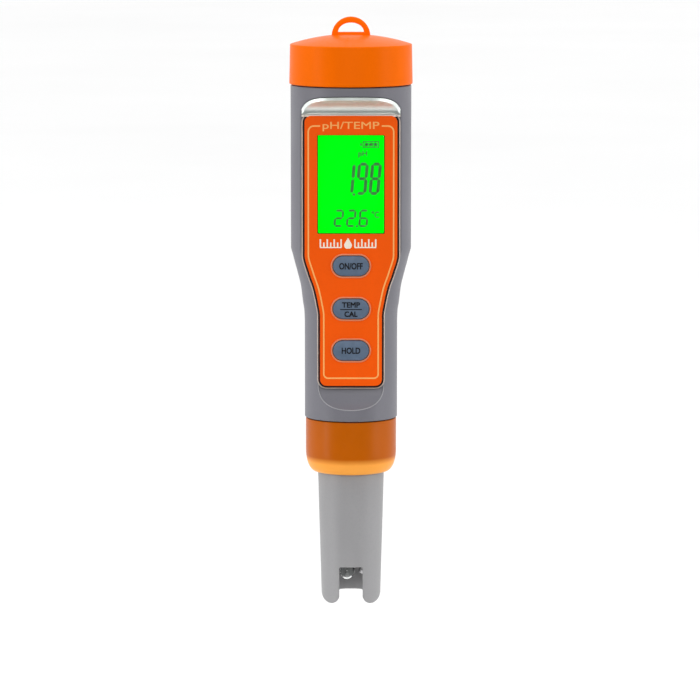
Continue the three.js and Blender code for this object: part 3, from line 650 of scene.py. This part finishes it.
ORANGE = (0.97, 0.155, 0.0)
# The collar's two oranges are painted light on the cap's plastic: painted shade on the collar, painted glow
# on its bowl.
COLLAR_SHADED_ORANGE = (0.5, 0.105, 0.0)
COLLAR_GLOW_ORANGE = (1.0, 0.4, 0.06)
PANEL_ORANGE = (0.92, 0.1, 0.0)
BODY_GREY = (0.167, 0.165, 0.19)
# Lighter than the housing's grey: painted highlight along the scoop's edge bead.
BEAD_HIGHLIGHT_GREY = (0.33, 0.33, 0.35)
PROBE_GREY = (0.295, 0.293, 0.3)
BUTTON_BLUE = (0.1, 0.145, 0.215)
BAND_SILVER = (0.82, 0.88, 0.84)
# Painted shade: the trim's silver, darkened and warmed for the narrow rim round the panel.
RIM_SILVER_SHADED = (0.5, 0.44, 0.39)


def trim_silver():
    """Satin plating: pale on the band above the panel, and a darker, warmer grey on the narrow rim round it
    as painted shade.
    """
    s = Surface("trim_silver", 0.4, 0.92)
    foot = DATUM + FLAT.top * MM
    on_band = s.ranged(s.height(), 0, 1, foot - 0.4 * MM, foot + 0.6 * MM)
    worn = s.ranged(s.noise(3, 4), 0, 1)
    # The rim's colour is painted shade on the same silver as the band.
    rim = s.mixed(worn, shade(RIM_SILVER_SHADED, 0.92), RIM_SILVER_SHADED)
    band = s.mixed(worn, shade(BAND_SILVER, 0.94), BAND_SILVER)
    s.coloured(s.mixed(on_band, rim, band))
    brushed = s.noise(0.5, 4, s.stretched((1, 1, 3)))
    s.rough(s.ranged(brushed, 0.3, 0.54))
    return s.bumped((brushed, 0.003))


def collar_plastic():
    """Orange plastic with painted light: a darker orange as painted shade on the collar, and a pale orange
    below the shelf as a painted glow on its bowl.
    """
    s = Surface("collar_orange_shade_and_glow", 0.3, Specular_IOR_Level=0.12)
    shelf = DATUM + COLLAR_SHELF * MM
    # Mask of the bowl below the shelf, where the painted glow goes.
    thin = s.ranged(s.height(), 1, 0, shelf - 0.8 * MM, shelf + 1.2 * MM)
    flow = s.ranged(s.noise(9, 4), 0, 1)
    deep = s.mixed(flow, shade(COLLAR_SHADED_ORANGE, 0.97), shade(COLLAR_SHADED_ORANGE, 1.03))
    pale = s.mixed(flow, shade(COLLAR_GLOW_ORANGE, 0.95), COLLAR_GLOW_ORANGE)
    s.coloured(s.mixed(thin, deep, pale))
    s.uneven(1.1, 6, 0.28, 0.4)
    return s.bumped((s.noise(0.35, 2), 0.0015), (s.noise(3.5, 2), 0.003))


LOOKS = {
    "cap_plastic": moulded("cap_orange", ORANGE, 0.3, 0.35, 0.0015, 0.03, Specular_IOR_Level=0.04),
    "body_plastic": moulded("body_grey", BODY_GREY, 0.42, tint=0.04, Specular_IOR_Level=0.45),
    "overlay_sheet": moulded("panel_orange", PANEL_ORANGE, 0.4, 0.2, 0.0015, 0.03, Specular_IOR_Level=0.12),
    "probe_plastic": moulded("probe_grey", PROBE_GREY, 0.4, grain_depth=0.003, tint=0.04),
    "inner_plastic": moulded("inner_black", (0.02, 0.021, 0.025), 0.5, grain_depth=0.006, tint=0.1),
    "component_black": moulded("package_black", (0.012, 0.012, 0.013), 0.45, grain=0.15, tint=0.1),
    "led_package": moulded("led_white", (0.85, 0.85, 0.78), 0.3, tint=0.03),
    "lead_red": moulded("lead_red", (0.45, 0.01, 0.01), 0.4, tint=0.05),
    "lead_black": moulded("lead_black", (0.015, 0.015, 0.015), 0.4, tint=0.1),
    "ribbon_film": moulded("ribbon_film", (0.75, 0.72, 0.66), 0.35, tint=0.04),
    "junction_ceramic": moulded("porous_ceramic", (0.82, 0.79, 0.72), 0.8, grain=0.12, grain_depth=0.02),
    "light_guide": moulded("light_guide", (0.02, 0.8, 0.06), 0.3, tint=0.04),
    "button_rubber": rubber("button_rubber", BUTTON_BLUE, 0.5),
    "membrane_rubber": rubber("membrane_rubber", (0.27, 0.29, 0.32)),
    "contact_carbon": rubber("contact_carbon", (0.01, 0.01, 0.01), 0.7),
    "seal_rubber": rubber("seal_rubber", (0.008, 0.008, 0.008), 0.45),
    "trim_silver": trim_silver(),
    "component_metal": metal("drawn_can", (0.62, 0.62, 0.64), 0.3, (1, 6, 1)),
    "plated_steel": metal("plated_steel", (0.68, 0.69, 0.7), 0.25, (1, 1, 8)),
    "silver_wire": metal("silver_wire", (0.75, 0.75, 0.74), 0.3, (1, 1, 5), 0.35),
    "sensor_steel": metal("sensor_steel", (0.55, 0.55, 0.56), 0.25, (1, 1, 6)),
    "gold_pin": metal("gold_pin", (0.85, 0.6, 0.2), 0.2, (1, 1, 5), 0.1),
    "window_plastic": clear("window_clear", (0.97, 1.0, 0.97), 0.03, 1.12),
    "electrode_glass": clear("electrode_glass", (0.97, 0.99, 0.98), 0.02, 1.45),
    "lcd_cell": moulded("cell_glass", (0.006, 0.02, 0.007), 0.2, tint=0.1),
    "circuit_board": circuit_board(),
    "zebra_rubber": zebra(),
}
COLLAR_PLASTIC = collar_plastic()
BEAD_HIGHLIGHT_PLASTIC = moulded("edge_grey_painted_highlight", BEAD_HIGHLIGHT_GREY, 0.35, tint=0.04)
# Paler than the orange sheet: partly the button rims' own lighter tone, partly painted highlight along
# them.
RIM_ORANGE_PART_HIGHLIGHT = moulded("rim_orange_part_highlight", (0.72, 0.21, 0.09), 0.3, grain_depth=0.001, tint=0.03)
LIT_FIELD = lit_green()
PRINT_LIGHT = printed("print_light_orange", (1.0, 0.46, 0.13))
PRINT_CREAM = printed("print_cream", (0.95, 0.86, 0.72))
PRINT_BLACK = printed("print_black", (0.006, 0.006, 0.008), 0.5)
SEGMENT_DARK = printed("segment_dark", (0.06, 0.3, 0.08), 0.4)

# The CAD nodes that show as they are, by the material slot their finish comes from.
CARRIED_OVER = {
    "membrane_rubber": ("keypad_membrane",),
    "contact_carbon": ("contact_on_off", "contact_temp_cal", "contact_hold"),
    "light_guide": ("backlight",),
    "zebra_rubber": ("zebra_strip_upper", "zebra_strip_lower"),
    "circuit_board": ("main_board",),
    "component_black": ("controller_chip", "amplifier_chip"),
    "component_metal": ("crystal", "capacitor_left", "capacitor_right"),
    "led_package": ("backlight_led",),
    "inner_plastic": ("inner_tray", "battery_holder", "connector_socket", "probe_plug"),
    "plated_steel": (
        "screw_upper_left", "screw_upper_right", "screw_lower",
        "cell_left_lower", "cell_left_upper", "cell_right_lower", "cell_right_upper",
        "battery_spring_left", "battery_spring_right", "cap_contact_plate",
    ),
    "lead_red": ("battery_lead_red",),
    "lead_black": ("battery_lead_black",),
    "seal_rubber": ("cap_seal", "probe_seal"),
    "ribbon_film": ("probe_ribbon",),
    "silver_wire": ("electrode_wire", "reference_wire"),
    "junction_ceramic": ("reference_junction",),
    "sensor_steel": ("temperature_sensor",),
    "gold_pin": ("probe_pin_1", "probe_pin_2", "probe_pin_3", "probe_pin_4"),
}


def finish_carried_over():
    for slot_name, names in CARRIED_OVER.items():
        for name in names:
            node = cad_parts[name]
            node.data.materials.clear()
            node.data.materials.append(LOOKS[slot_name])


# ---------------------------------------------------------------- housing


def front_limit(height):
    """Depth of the housing's flat front, with the scoop below it and the ramp above."""
    below, above = FLAT.bottom - height, height - FLAT.top
    if below > SCOOP or above > RAMP.rise:
        return FAR
    if below > 0:
        return FLAT.depth + SCOOP - math.sqrt(SCOOP**2 - below**2)
    if above > 0:
        return RAMP.centre - RAMP.reach * math.sqrt(1 - (above / RAMP.rise) ** 2)
    return FLAT.depth


def inner_limit(height):
    return FLAT.wall if NECK.bottom < height < FLAT.wall_top else FAR


HOUSING_ROWS = (  # (up to this height, row spacing)
    (49, 0.8), (58, 0.22), (61, 0.6), (70.5, 0.3), (90, 1.5), (112, 0.6), (152.5, 1.8), (157, 0.3),
    (159.6, 0.12), (163, 0.6), (170.3, 0.22), (180, 0.6),
)


def housing_step(height):
    """Row spacing up the housing's outside: fine where the front and the threads curve."""
    return next(step for top, step in HOUSING_ROWS if height <= top)


def housing_angles():
    """Directions of the housing's columns, close together across its flat front."""
    edge = 62
    front = np.arange(-edge, edge + 1, 1.0)
    back = np.linspace(edge, 360 - edge, 80)[1:-1]
    return np.radians(np.concatenate((front, back)))


def front_of(node, growth, corner):
    """A CAD node's front view as a rectangle, made wider and taller by a growth."""
    (left, right), _, (low, high) = span(node)
    return rectangle(right - left + growth, high - low + growth, (0, (low + high) / 2), corner)


def display_opening(growth=0.0):
    return front_of("lcd_glass", 0.6 + growth, 1)


def button_face(name):
    """A button's centre height and the width and height of its face."""
    (left, right), _, (low, high) = span(name)
    return (low + high) / 2, (right - left) - 2.3, (high - low) - 1.6


def button_openings():
    """Outlines of the holes the buttons stand in."""
    margin = 0.64
    faces = [button_face(name) for name in BUTTONS]
    return [pill(width + margin, height + margin, (0, centre)) for centre, width, height in faces]


def build_housing():
    shoulder = [(smooth_width(SHOULDER, z), z) for z in SHOULDER_ROWS]
    spigot, neck, body, cap_end = PROBE_SPIGOT, NECK, BODY, CAP_SPIGOT
    outside = profile(
        (spigot.bore, spigot.bottom), (spigot.radius, spigot.bottom, 0.3),
        (spigot.radius, neck.bottom, 0.3), (neck.radius, neck.bottom, 0.4),
        *shoulder, (body.radius, body.top, 0.35),
        (cap_end.radius, body.top, 0.2), (cap_end.radius, cap_end.top, 0.3),
        (cap_end.bore, cap_end.top),
    )
    inside = profile(
        (cap_end.bore, cap_end.top - 0.2), (cap_end.bore, HOUSING_INSIDE.mouth),
        (body.bore, HOUSING_INSIDE.roof, 0.5), (body.bore, HOUSING_INSIDE.shoulder_top),
        (neck.bore, HOUSING_INSIDE.shoulder_foot), (neck.bore, neck.floor),
        (spigot.bore, neck.floor), (spigot.bore, spigot.bottom + 0.2),
    )
    angles = housing_angles()
    rings = turned(refined(outside, housing_step), angles, front_limit)
    rings += turned(refined(inside, lambda height: 2.5), angles, inner_limit)
    housing = made("housing", loft(rings, wrap=True))
    cutters = [sheet(outline, [(0, 6), (0, 14)]) for outline in (display_opening(), *button_openings())]
    carved(housing, "DIFFERENCE", made("openings", together(*cutters)))
    shown(housing, "housing", LOOKS["body_plastic"], "body_plastic", "housing_shell")


def build_scoop_edge():
    """Fine raised bead where the scoop under the panel meets the round neck, coloured a lighter grey than
    the housing as a painted highlight.
    """
    radius = NECK.radius
    flat_edge = math.sqrt(radius**2 - FLAT.depth ** 2)
    path = []
    for x in flat_edge * np.sin(np.linspace(-math.pi / 2, math.pi / 2, 121)):
        depth = math.sqrt(radius**2 - x * x)
        drop = math.sqrt(max(SCOOP**2 - (FLAT.depth + SCOOP - depth) ** 2, 0))
        path.append((x, depth, FLAT.bottom - drop))
    first, last = path[0], path[-1]
    ends = [0.9, 0.6, 0.3]
    path = [(*first[:2], FLAT.bottom + rise) for rise in ends] + path
    path += [(*last[:2], FLAT.bottom + rise) for rise in reversed(ends)]
    shown(made("scoop_edge", rod(path, 0.15)), "housing", BEAD_HIGHLIGHT_PLASTIC, "body_plastic")


# ---------------------------------------------------------------- front panel


def ramp_point(angle, clearance):
    """(depth, height) on the ramp's curve, at an angle from its foot."""
    reach, rise = RAMP.reach - clearance, RAMP.rise - clearance
    return RAMP.centre - reach * math.cos(angle), FLAT.top + rise * math.sin(angle)


def band_section(x, steps=16):
    """Side view of the curved band at one place across it, as a closed ring."""
    outside = math.sqrt(BAND.outside ** 2 - x * x)
    ring = []
    for clearance, backwards in ((BAND.front, False), (BAND.back, True)):
        reach = RAMP.reach - clearance
        last = math.acos(np.clip((RAMP.centre - outside) / reach, 0, 1))
        angles = np.linspace(-0.12, max(last, 0.1), steps)
        side = [ramp_point(a, clearance) for a in angles]
        ring += side[::-1] if backwards else side
    pinch, edge = 0.18, (steps - 1, steps)
    tip = np.mean([ring[i] for i in edge], axis=0)
    for i in edge:
        ring[i] = (1 - pinch) * np.array(ring[i]) + pinch * tip
    return [(x, depth, height) for depth, height in ring]


def build_trim():
    outline = overlay_outline()
    border, wall = 0.7, 0.36
    back, front, floor = 10.4, 11.6, 11.0
    crest = [(0, 0.22), (0.04, 0.1), (0.11, 0.03), (0.18, 0), (0.25, 0.03), (0.32, 0.1), (wall, 0.22)]
    rim = [(0.1, back), (0, back + 0.1), *[(inset, front - drop) for inset, drop in crest]]
    rim += [(wall, floor), (wall + HOLD, floor)]
    through = [(0, back), (0, floor - 0.08), (0.08, floor), (0.08 + HOLD, floor)]
    holes = [(opening, through) for opening in (display_opening(-0.6), *button_openings())]
    dish = made("trim", sheet(offset(outline, -border), rim, holes))
    places = BAND.half * np.sin(np.linspace(-math.pi / 2, math.pi / 2, 49))
    carved(dish, "UNION", made("band", loft([band_section(x) for x in places])))
    shown(dish, "housing", LOOKS["trim_silver"], "trim_silver", "bezel_trim")
    # Black strip in the gap round the orange sheet, standing in for the shadow there: painted shade.
    layer = [(0, floor + 0.02), (0, floor + 0.17)]
    tape = made("panel_shadow_tape", sheet(offset(outline, -0.31), layer, [(offset(outline, 1.2), layer)]))
    shown(tape, "housing", LOOKS["seal_rubber"], "seal_rubber")


def build_overlay():
    _, (back, front), _ = span("front_overlay")
    edge = rounded_steps(back, front, 0.1)
    holes = [(opening, edge) for opening in (front_of("display_window", 0.5, 0.5), *button_openings())]
    outline = offset(overlay_outline(), OVERLAY_INSET)
    overlay = made("overlay", sheet(outline, rounded_steps(back, front, 0.14), holes))
    shown(overlay, "housing", LOOKS["overlay_sheet"], "overlay_sheet", "front_overlay")
    rims = []
    for name in BUTTONS:
        centre, width, height = button_face(name)
        rims.append(lip(pill(width + 0.2, height + 0.2, (0, centre)), 0.55, back + 0.2, front + 0.3))
    # The rims' paler orange is partly painted highlight.
    shown(made("panel_rims", together(*rims)), "housing", RIM_ORANGE_PART_HIGHLIGHT, "overlay_sheet")


def panel_line():
    """Path of the printed line: round the panel, with a gap at the top for the title."""
    bottom, top, gap = 72.3, 150.0, 9.4
    inner = offset(overlay_outline(), 1.34)
    side = [(x, z) for x, z in inner if x > 0 and bottom + 2 < z < top - 3]
    side.sort(key=lambda point: -point[1])
    right = [(gap, top), (side[0][0], top, 2.2), *side, (side[-1][0], bottom, 1.3)]
    left = [(-corner[0], *corner[1:]) for corner in reversed(right)]
    return eased(right + left, closed=False)


def build_overlay_print():
    """Fine line round the panel, its title, and a plain tick scale with a drop."""
    _, (_, front), _ = span("front_overlay")
    back, top, line_width = front - PRINT_BACK, front + PRINT_RISE, 0.46
    line = made("panel_line", strip(panel_line(), line_width, back, top))
    shown(line, "housing", PRINT_LIGHT, "overlay_sheet")
    title = lettering("pH/TEMP", (17.3, 2.85), (0, 149.85), back, PRINT_BACK + PRINT_RISE)
    shown(bold("panel_title", 0.03, title), "housing", PRINT_LIGHT, "overlay_sheet")
    marks = []
    middle, foot, pitch = -0.9, 112.75, 1.06
    for i in (*range(-8, -1), *range(2, 9)):
        tall = 2.5 if i % 2 == 0 else 1.5
        path = [(middle + i * pitch, foot), (middle + i * pitch, foot + tall)]
        marks.append(strip(path, line_width, back, top))
    for side in (-1, 1):
        base = [(middle + side * 2.0, foot - 0.05), (middle + side * 8.6, foot - 0.05)]
        marks.append(strip(base, 0.36, back, top + 0.01))
    half = [(1.25, 113.6, 0.6), (0.95, 112.35, 0.9)]
    drop = [(0, 115.7, 0.15), *half, *[(-x, z, ease) for x, z, ease in reversed(half)]]
    drop = [(middle + x, z, ease) for x, z, ease in drop]
    marks.append(sheet(eased(drop), [(0, back), (0, top)]))
    shown(made("panel_scale", together(*marks)), "housing", PRINT_CREAM, "overlay_sheet")


def build_window():
    _, (back, front), _ = span("display_window")
    window = made("window", sheet(front_of("display_window", 0, 0.4), rounded_steps(back, front, 0.1)))
    shown(window, "housing", LOOKS["window_plastic"], "window_plastic", "display_window")


# ---------------------------------------------------------------- display

# Which bars of each digit are on: top, upper left, upper right, middle, lower left, lower right, bottom.
DIGITS = {"1": "0010010", "2": "1011101", "6": "1101111", "8": "1111111", "9": "1111011"}
SLANT = 0.09
SEGMENT_GAP = 0.07
# Numbers on the display: digits, place of the first, spacing, then width, height and bar thickness.
READINGS = (("198", (7.9, 18.3), 4.0, (2.35, 10.0, 1.0)), ("226", (5.0, 28.15), 3.8, (2.25, 5.4, 0.66)))
POINTS = ((0.8, 0.2, (11.0, 18.15)), (0.65, 0.15, (11.9, 27.9)))  # size, rounding and place
BATTERY_SIGN = [  # boxes as (left, right, top, bottom): the case's four sides, its tip and three bars
    (13.7, 18.7, 1.75, 2.05), (13.7, 18.7, 3.5, 3.8), (13.7, 14.0, 1.75, 3.8), (18.4, 18.7, 1.75, 3.8),
    (12.9, 13.4, 2.35, 3.2), *[(14.35 + 1.35 * i, 15.45 + 1.35 * i, 2.3, 3.25) for i in range(3)],
]


def segment(start, end, thickness):
    """Bar with pointed ends between two places in a digit."""
    start, end = np.array(start, float), np.array(end, float)
    along = (end - start) / np.linalg.norm(end - start)
    across = np.array((-along[1], along[0])) * thickness / 2
    nib = along * thickness / 2
    return [start, start + nib + across, end - nib + across, end, end - nib - across, start + nib - across]


def digit(character, left, bottom, width, height, thickness):
    """Outlines of one slanted digit. Its width is between the centres of its upright bars."""
    x = (0, width)
    z = (thickness / 2, height / 2, height - thickness / 2)
    bars = [
        ((x[0], z[2]), (x[1], z[2])), ((x[0], z[1]), (x[0], z[2])), ((x[1], z[1]), (x[1], z[2])),
        ((x[0], z[1]), (x[1], z[1])), ((x[0], z[0]), (x[0], z[1])), ((x[1], z[0]), (x[1], z[1])),
        ((x[0], z[0]), (x[1], z[0])),
    ]
    outlines = []
    for on, (start, end) in zip(DIGITS[character], bars):
        if on == "1":
            way = np.array(end) - start
            gap = way / np.linalg.norm(way) * SEGMENT_GAP
            corners = segment(start + gap, end - gap, thickness)
            outlines.append(np.array([(left + p[0] + SLANT * p[1], bottom + p[1]) for p in corners]))
    return outlines


def build_display():
    """Lit cell with its reading: a large value, a small temperature, their units and a battery sign."""
    _, (back, front), _ = span("lcd_glass")
    glass = made("lcd", sheet(front_of("lcd_glass", 0, 0.3), rounded_steps(back, front, 0.12)))
    shown(glass, "housing", LOOKS["lcd_cell"], "lcd_cell", "lcd_glass")
    lit = front_of("display_window", 0.05, 0.3)
    field = made("lcd_field", sheet(lit, [(0, front - 0.02), (0, front + 0.05), (0.06, front + 0.05)]))
    shown(field, "housing", LIT_FIELD, "lcd_cell")
    levels = (front + 0.04, front + 0.1)
    (left, _), _, (_, top) = span("display_window")

    def at(x, down):
        return left + x, top - down

    outlines = []
    for characters, (x, down), spacing, form in READINGS:
        for i, character in enumerate(characters):
            outlines += digit(character, *at(x + spacing * i, down), *form)
    outlines += [rectangle(size, size, at(*place), rounding) for size, rounding, place in POINTS]
    for x0, x1, y0, y1 in BATTERY_SIGN:
        outlines.append(rectangle(x1 - x0, y1 - y0, at((x0 + x1) / 2, (y0 + y1) / 2), 0.04))
    shapes = [sheet(outline, [(0, levels[0]), (0, levels[1])]) for outline in outlines]
    shown(made("lcd_segments", together(*shapes)), "housing", SEGMENT_DARK, "lcd_cell")
    units = [("pH", (2.7, 2.2), at(13.7, 5.8)), ("°C", (2.3, 2.0), at(17.6, 24.3))]
    thick = levels[1] - levels[0]
    words = [lettering(text, size, place, levels[0], thick) for text, size, place in units]
    shown(bold("lcd_units", 0.05, *words), "housing", SEGMENT_DARK, "lcd_cell")


# ---------------------------------------------------------------- buttons

LABELS = {
    "button_on_off": [("ON/OFF", 7.1, 1.9, 0.0)],
    "button_temp_cal": [("TEMP", 5.4, 1.55, 1.3), ("CAL", 3.9, 1.6, -1.55)],
    "button_hold": [("HOLD", 5.6, 1.85, 0.0)],
}


def build_button(name):
    centre, width, height = button_face(name)
    (left, right), (stem_back, front), (low, high) = span(name)
    face = pill(width, height, (0, centre))
    flange = pill(right - left, high - low, (0, centre))
    stem = pill(4.0, 3.99, (0, centre))
    flange_back, flange_front, edge = 7.9, 8.4, 0.6
    walls = [(offset(stem, 0.15), stem_back), (stem, stem_back + 0.2), (stem, flange_back)]
    walls += [(flange, flange_back), (flange, flange_front), (face, flange_front), (face, front - 0.75)]
    for angle in np.linspace(0.35, math.pi / 2, 5):
        inset, drop = edge * (1 - math.cos(angle)), edge * (1 - math.sin(angle))
        walls.append((offset(face, inset), front - 0.15 - drop))
    walls += [(offset(face, inset), front - drop) for inset, drop in ((1.1, 0.08), (1.9, 0.02), (2.7, 0))]
    button = made(name + "_cap", loft([at_depth(outline, depth) for outline, depth in walls]))
    shown(button, name, LOOKS["button_rubber"], "button_rubber", name)
    sunk = 0.16  # the face is slightly domed, so its label starts below the top of it
    words = [
        lettering(text, (wide, tall), (0, centre + lift), front - sunk, sunk + PRINT_RISE)
        for text, wide, tall, lift in LABELS[name]
    ]
    if len(words) > 1:
        bar = [(-3.3, centre - 0.1), (3.3, centre - 0.1)]
        words.append(strip(bar, 0.16, front - sunk, front + PRINT_RISE))
    shown(bold(name + "_label", 0.06, *words), name, PRINT_BLACK, "button_rubber")


# ---------------------------------------------------------------- cap and collar


def thread_step(low, high):
    """Row spacing of a turned wall that is fine only between two heights."""
    return lambda height: 0.22 if low <= height <= high else 0.8


def build_cap():
    rise = CAP.apex - CAP.rim
    dome_radius = (CAP.top_radius ** 2 + rise**2) / (2 * rise)
    edge = math.degrees(math.acos(CAP.top_radius / dome_radius))
    dome = arc((0, CAP.apex - dome_radius), (dome_radius, dome_radius), edge, 89.9, 26)
    inside = CAP_INSIDE
    outline = profile(
        (AXIS_GAP, inside.pin_top), (inside.pin, inside.pin_top, 0.2),
        (inside.pin, BOSS_FOOT), (inside.boss, BOSS_FOOT, 0.2),
        (inside.boss, CAP.roof, 0.3), (inside.bore, CAP.roof),
        (inside.bore, inside.seat_top), (inside.seat, inside.seat_top),
        (inside.seat, CAP.bottom, 0.15), (CAP.radius, CAP.bottom, 0.35),
        (*dome[0], 0.32), *dome[1:],
    )
    cap = made("cap", loft(turned(refined(outline, thread_step(*CAP_THREAD)), full_turn(180))))
    sides = [(-LOOP.radius, LOOP.root), (LOOP.radius, LOOP.root)]
    ring = np.array(sides + arc((0, LOOP.centre), (LOOP.radius,) * 2, 0, 180, 48))
    eye = arc((0, LOOP.hole_bottom), LOOP.hole, 0, 180, 30)
    eye = eased([(*eye[0], 0.3), *eye[1:-1], (*eye[-1], 0.3)])
    half, ease = LOOP.half, 0.42
    quarter = np.linspace(0, math.pi / 2, 5)
    walls = [(ease + HOLD, -half)]
    walls += [(ease * (1 - math.sin(a)), -half + ease * (1 - math.cos(a))) for a in quarter]
    walls += [(inset, -depth) for inset, depth in reversed(walls)]
    carved(cap, "UNION", made("loop", sheet(ring, walls, [(eye, walls)])))
    shown(cap, "battery_cap", LOOKS["cap_plastic"], "cap_plastic", "battery_cap")


def build_collar():
    c = COLLAR
    top = NECK.bottom - 0.3
    bowl = arc((c.lip, c.straight), (c.radius - c.lip, c.straight - c.bottom), -88, 0, 14)
    outline = profile(
        (c.opening, COLLAR_SHELF), (c.opening, c.bottom + 0.25),
        (c.opening + 0.2, c.bottom), *bowl,
        (c.radius, top, 0.3), (c.bore, top, 0.2),
        (c.bore, COLLAR_SHELF), (c.opening, COLLAR_SHELF),
    )
    rings = turned(refined(outline, thread_step(*COLLAR_THREAD)), full_turn(160))
    collar = made("collar_ring", loft(rings[:-1], wrap=True))
    shown(collar, "collar", COLLAR_PLASTIC, "cap_plastic", "collar")


# ---------------------------------------------------------------- probe


def probe_front_view():
    """Front view of the probe: two round-ended prongs with a short wall between them."""
    prong = (PROBE.tip + 0.08 - SLOT.half) / 2
    middle, level = SLOT.half + prong, PROBE.end + prong
    side, ceiling = 12.6, PROBE.top + 1
    meet = math.degrees(math.asin((level - SLOT.rear_top) / prong))
    left = arc((-middle, level), (prong, prong), 180, 360 - meet, 22)
    right = arc((middle, level), (prong, prong), 180 + meet, 360, 22)
    return eased([(-side, ceiling), (-side, level), *left, *right, (side, level), (side, ceiling)])


def build_probe():
    p = PROBE
    outline = profile(
        (AXIS_GAP, BULKHEAD[1]), (p.bore, BULKHEAD[1]),
        (p.bore, p.top), (PLUG_RADIUS, p.top),
        (PLUG_RADIUS, SEAL_GROOVE.top), (SEAL_GROOVE.radius, SEAL_GROOVE.top),
        (SEAL_GROOVE.radius, SEAL_GROOVE.bottom), (PLUG_RADIUS, SEAL_GROOVE.bottom),
        (PLUG_RADIUS, FLANGE.top), (FLANGE.radius, FLANGE.top),
        (FLANGE.radius, FLANGE.bottom), (p.radius, FLANGE.bottom),
        (p.radius, p.taper_top), (p.tip, p.end),
        (p.tip_bore, p.end), (p.tip_bore, BULKHEAD[0]),
        (AXIS_GAP, BULKHEAD[0]),
    )
    probe = made("probe", loft(turned(outline, full_turn(120))))
    carved(probe, "INTERSECT", made("view", sheet(probe_front_view(), [(0, -13), (0, 13)])))
    half, top = SLOT.half, SLOT.front_top
    slot = eased([(-half, -1), (half, -1), (half, top, 0.5), (-half, top, 0.5)])
    tools = [made("slot", sheet(slot, [(0, 0.01), (0, 12)]))]
    tools += [
        made("hole", upright(radius, BULKHEAD[0] - 1, BULKHEAD[1] + 1, (x, depth)))
        for x, depth, radius in SENSORS.values()
    ]
    carved(probe, "DIFFERENCE", *tools)
    modified(probe, "REMESH", mode="VOXEL", voxel_size=0.26 * MM)
    modified(probe, "SMOOTH", factor=0.5, iterations=4)
    modified(probe, "DECIMATE", ratio=0.5)
    cleaned(probe, 60)
    shown(probe, "probe", LOOKS["probe_plastic"], "probe_plastic", "probe_body")


def build_electrode():
    """Thin glass tube blown out to a bulb at its lower end."""
    x, depth, _ = SENSORS["electrode"]
    bulb, wall, centre, stem, top = 2.55, 0.4, 10.3, 2.0, 42
    inner, inner_stem, rows = bulb - wall, stem - wall, (14, 30, top)
    rise = math.degrees(math.acos(stem / bulb))
    inner_rise = math.degrees(math.acos(inner_stem / inner))
    outline = arc((0, centre), (bulb, bulb), -89, rise, 22)
    outline += [(stem, z) for z in rows] + [(inner_stem, z) for z in reversed(rows)]
    outline += arc((0, centre), (inner, inner), inner_rise, -89, 22)
    points, faces = loft(turned(np.array(outline), full_turn(48)))
    glass = made("electrode_bulb", (points + (x, depth, 0), faces))
    shown(glass, "probe", LOOKS["electrode_glass"], "electrode_glass", "glass_electrode")


# ---------------------------------------------------------------- camera, floor and light


CAMERA = Sizes(distance=1.355, height=0.2482, downward=7.093, lens=226.5)


def build_camera():
    """Camera in front of the meter and a little above it, looking slightly down."""
    data = bpy.data.cameras.new("camera")
    data.lens = CAMERA.lens
    data.sensor_width = 36
    data.clip_end = 50
    camera = placed("camera", data)
    camera.location = (-0.0003, -CAMERA.distance, DATUM + CAMERA.height)
    camera.rotation_euler = (math.radians(90 - CAMERA.downward), 0, 0)
    bpy.context.scene.camera = camera
    bpy.context.scene.view_settings.view_transform = "Standard"


def build_floor():
    """Broad pale floor below the meter, which hangs from its loop. It stops short in front of it."""
    reach, front, cuts = 9.0, -0.12, 12
    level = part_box("probe_body")[0].z - FLOOR_DROP
    across = np.linspace(-reach, reach, cuts + 1)
    points = [(x, y, level) for y in np.linspace(front, reach, cuts + 1) for x in across]
    wide = cuts + 1
    starts = [row * wide + column for row in range(cuts) for column in range(cuts)]
    mesh = bpy.data.meshes.new("floor")
    mesh.from_pydata(points, [], [(i, i + 1, i + wide + 1, i + wide) for i in starts])
    floor = placed("floor", mesh)
    s = Surface("studio_floor", 0.7)
    s.drifting(400, 3, (0.93, 0.93, 0.93), (0.96, 0.96, 0.96))
    s.uneven(60, 2, 0.65, 0.8)
    mesh.materials.append(s.bumped((s.noise(2, 2), 0.01)))


LIT_PLACE = (0, 0, -0.08)  # what the lights face, in metres in the row frame


def softbox(name, azimuth, elevation, distance, size, power):
    """Rectangular light turned to the meter. Azimuth 0 is the camera's side and 90 is to its right."""
    data = bpy.data.lights.new(name, "AREA")
    data.shape = "RECTANGLE"
    data.size, data.size_y = size
    data.energy = power
    lamp = placed(name, data)
    a, e = math.radians(azimuth), math.radians(elevation)
    away = Vector((math.sin(a) * math.cos(e), -math.cos(a) * math.cos(e), math.sin(e)))
    lamp.location = Vector(LIT_PLACE) + away * distance
    lamp.rotation_euler = away.to_track_quat("Z", "Y").to_euler()


def build_world():
    """Soft tent of light: dim on the camera's side, and brightest above and behind."""
    world = bpy.data.worlds.new("studio")
    w = Nodes(world)
    direction = w.node("ShaderNodeTexCoord", {}).outputs["Generated"]
    slope = w.node("ShaderNodeVectorMath", {0: direction, 1: (0, 0.75, 0.65)}, operation="DOT_PRODUCT")
    glow = w.ranged(slope.outputs["Value"], 0.1, 1.25, -0.75, 0.65)
    in_view = w.node("ShaderNodeLightPath", {}).outputs["Is Camera Ray"]
    background = w.tree.nodes["Background"].inputs
    w.feed(background["Color"], (1, 1, 1))
    w.feed(background["Strength"], w.maths("MAXIMUM", glow, in_view))
    bpy.context.scene.world = world


def build_light():
    softbox("left_box", -66, 5, 1.3, (0.2, 1.2), 4.8)
    softbox("right_box", 69, 5, 1.4, (0.5, 1.2), 4.8)
    softbox("front_box", 0, 20, 1.6, (1.2, 0.6), 8.5)


# ---------------------------------------------------------------- assembly

build_camera()
build_housing()
build_scoop_edge()
build_trim()
build_overlay()
build_overlay_print()
build_window()
build_display()
for button_name in BUTTONS:
    build_button(button_name)
build_cap()
build_collar()
build_probe()
build_electrode()
finish_carried_over()
build_floor()
build_world()
build_light()
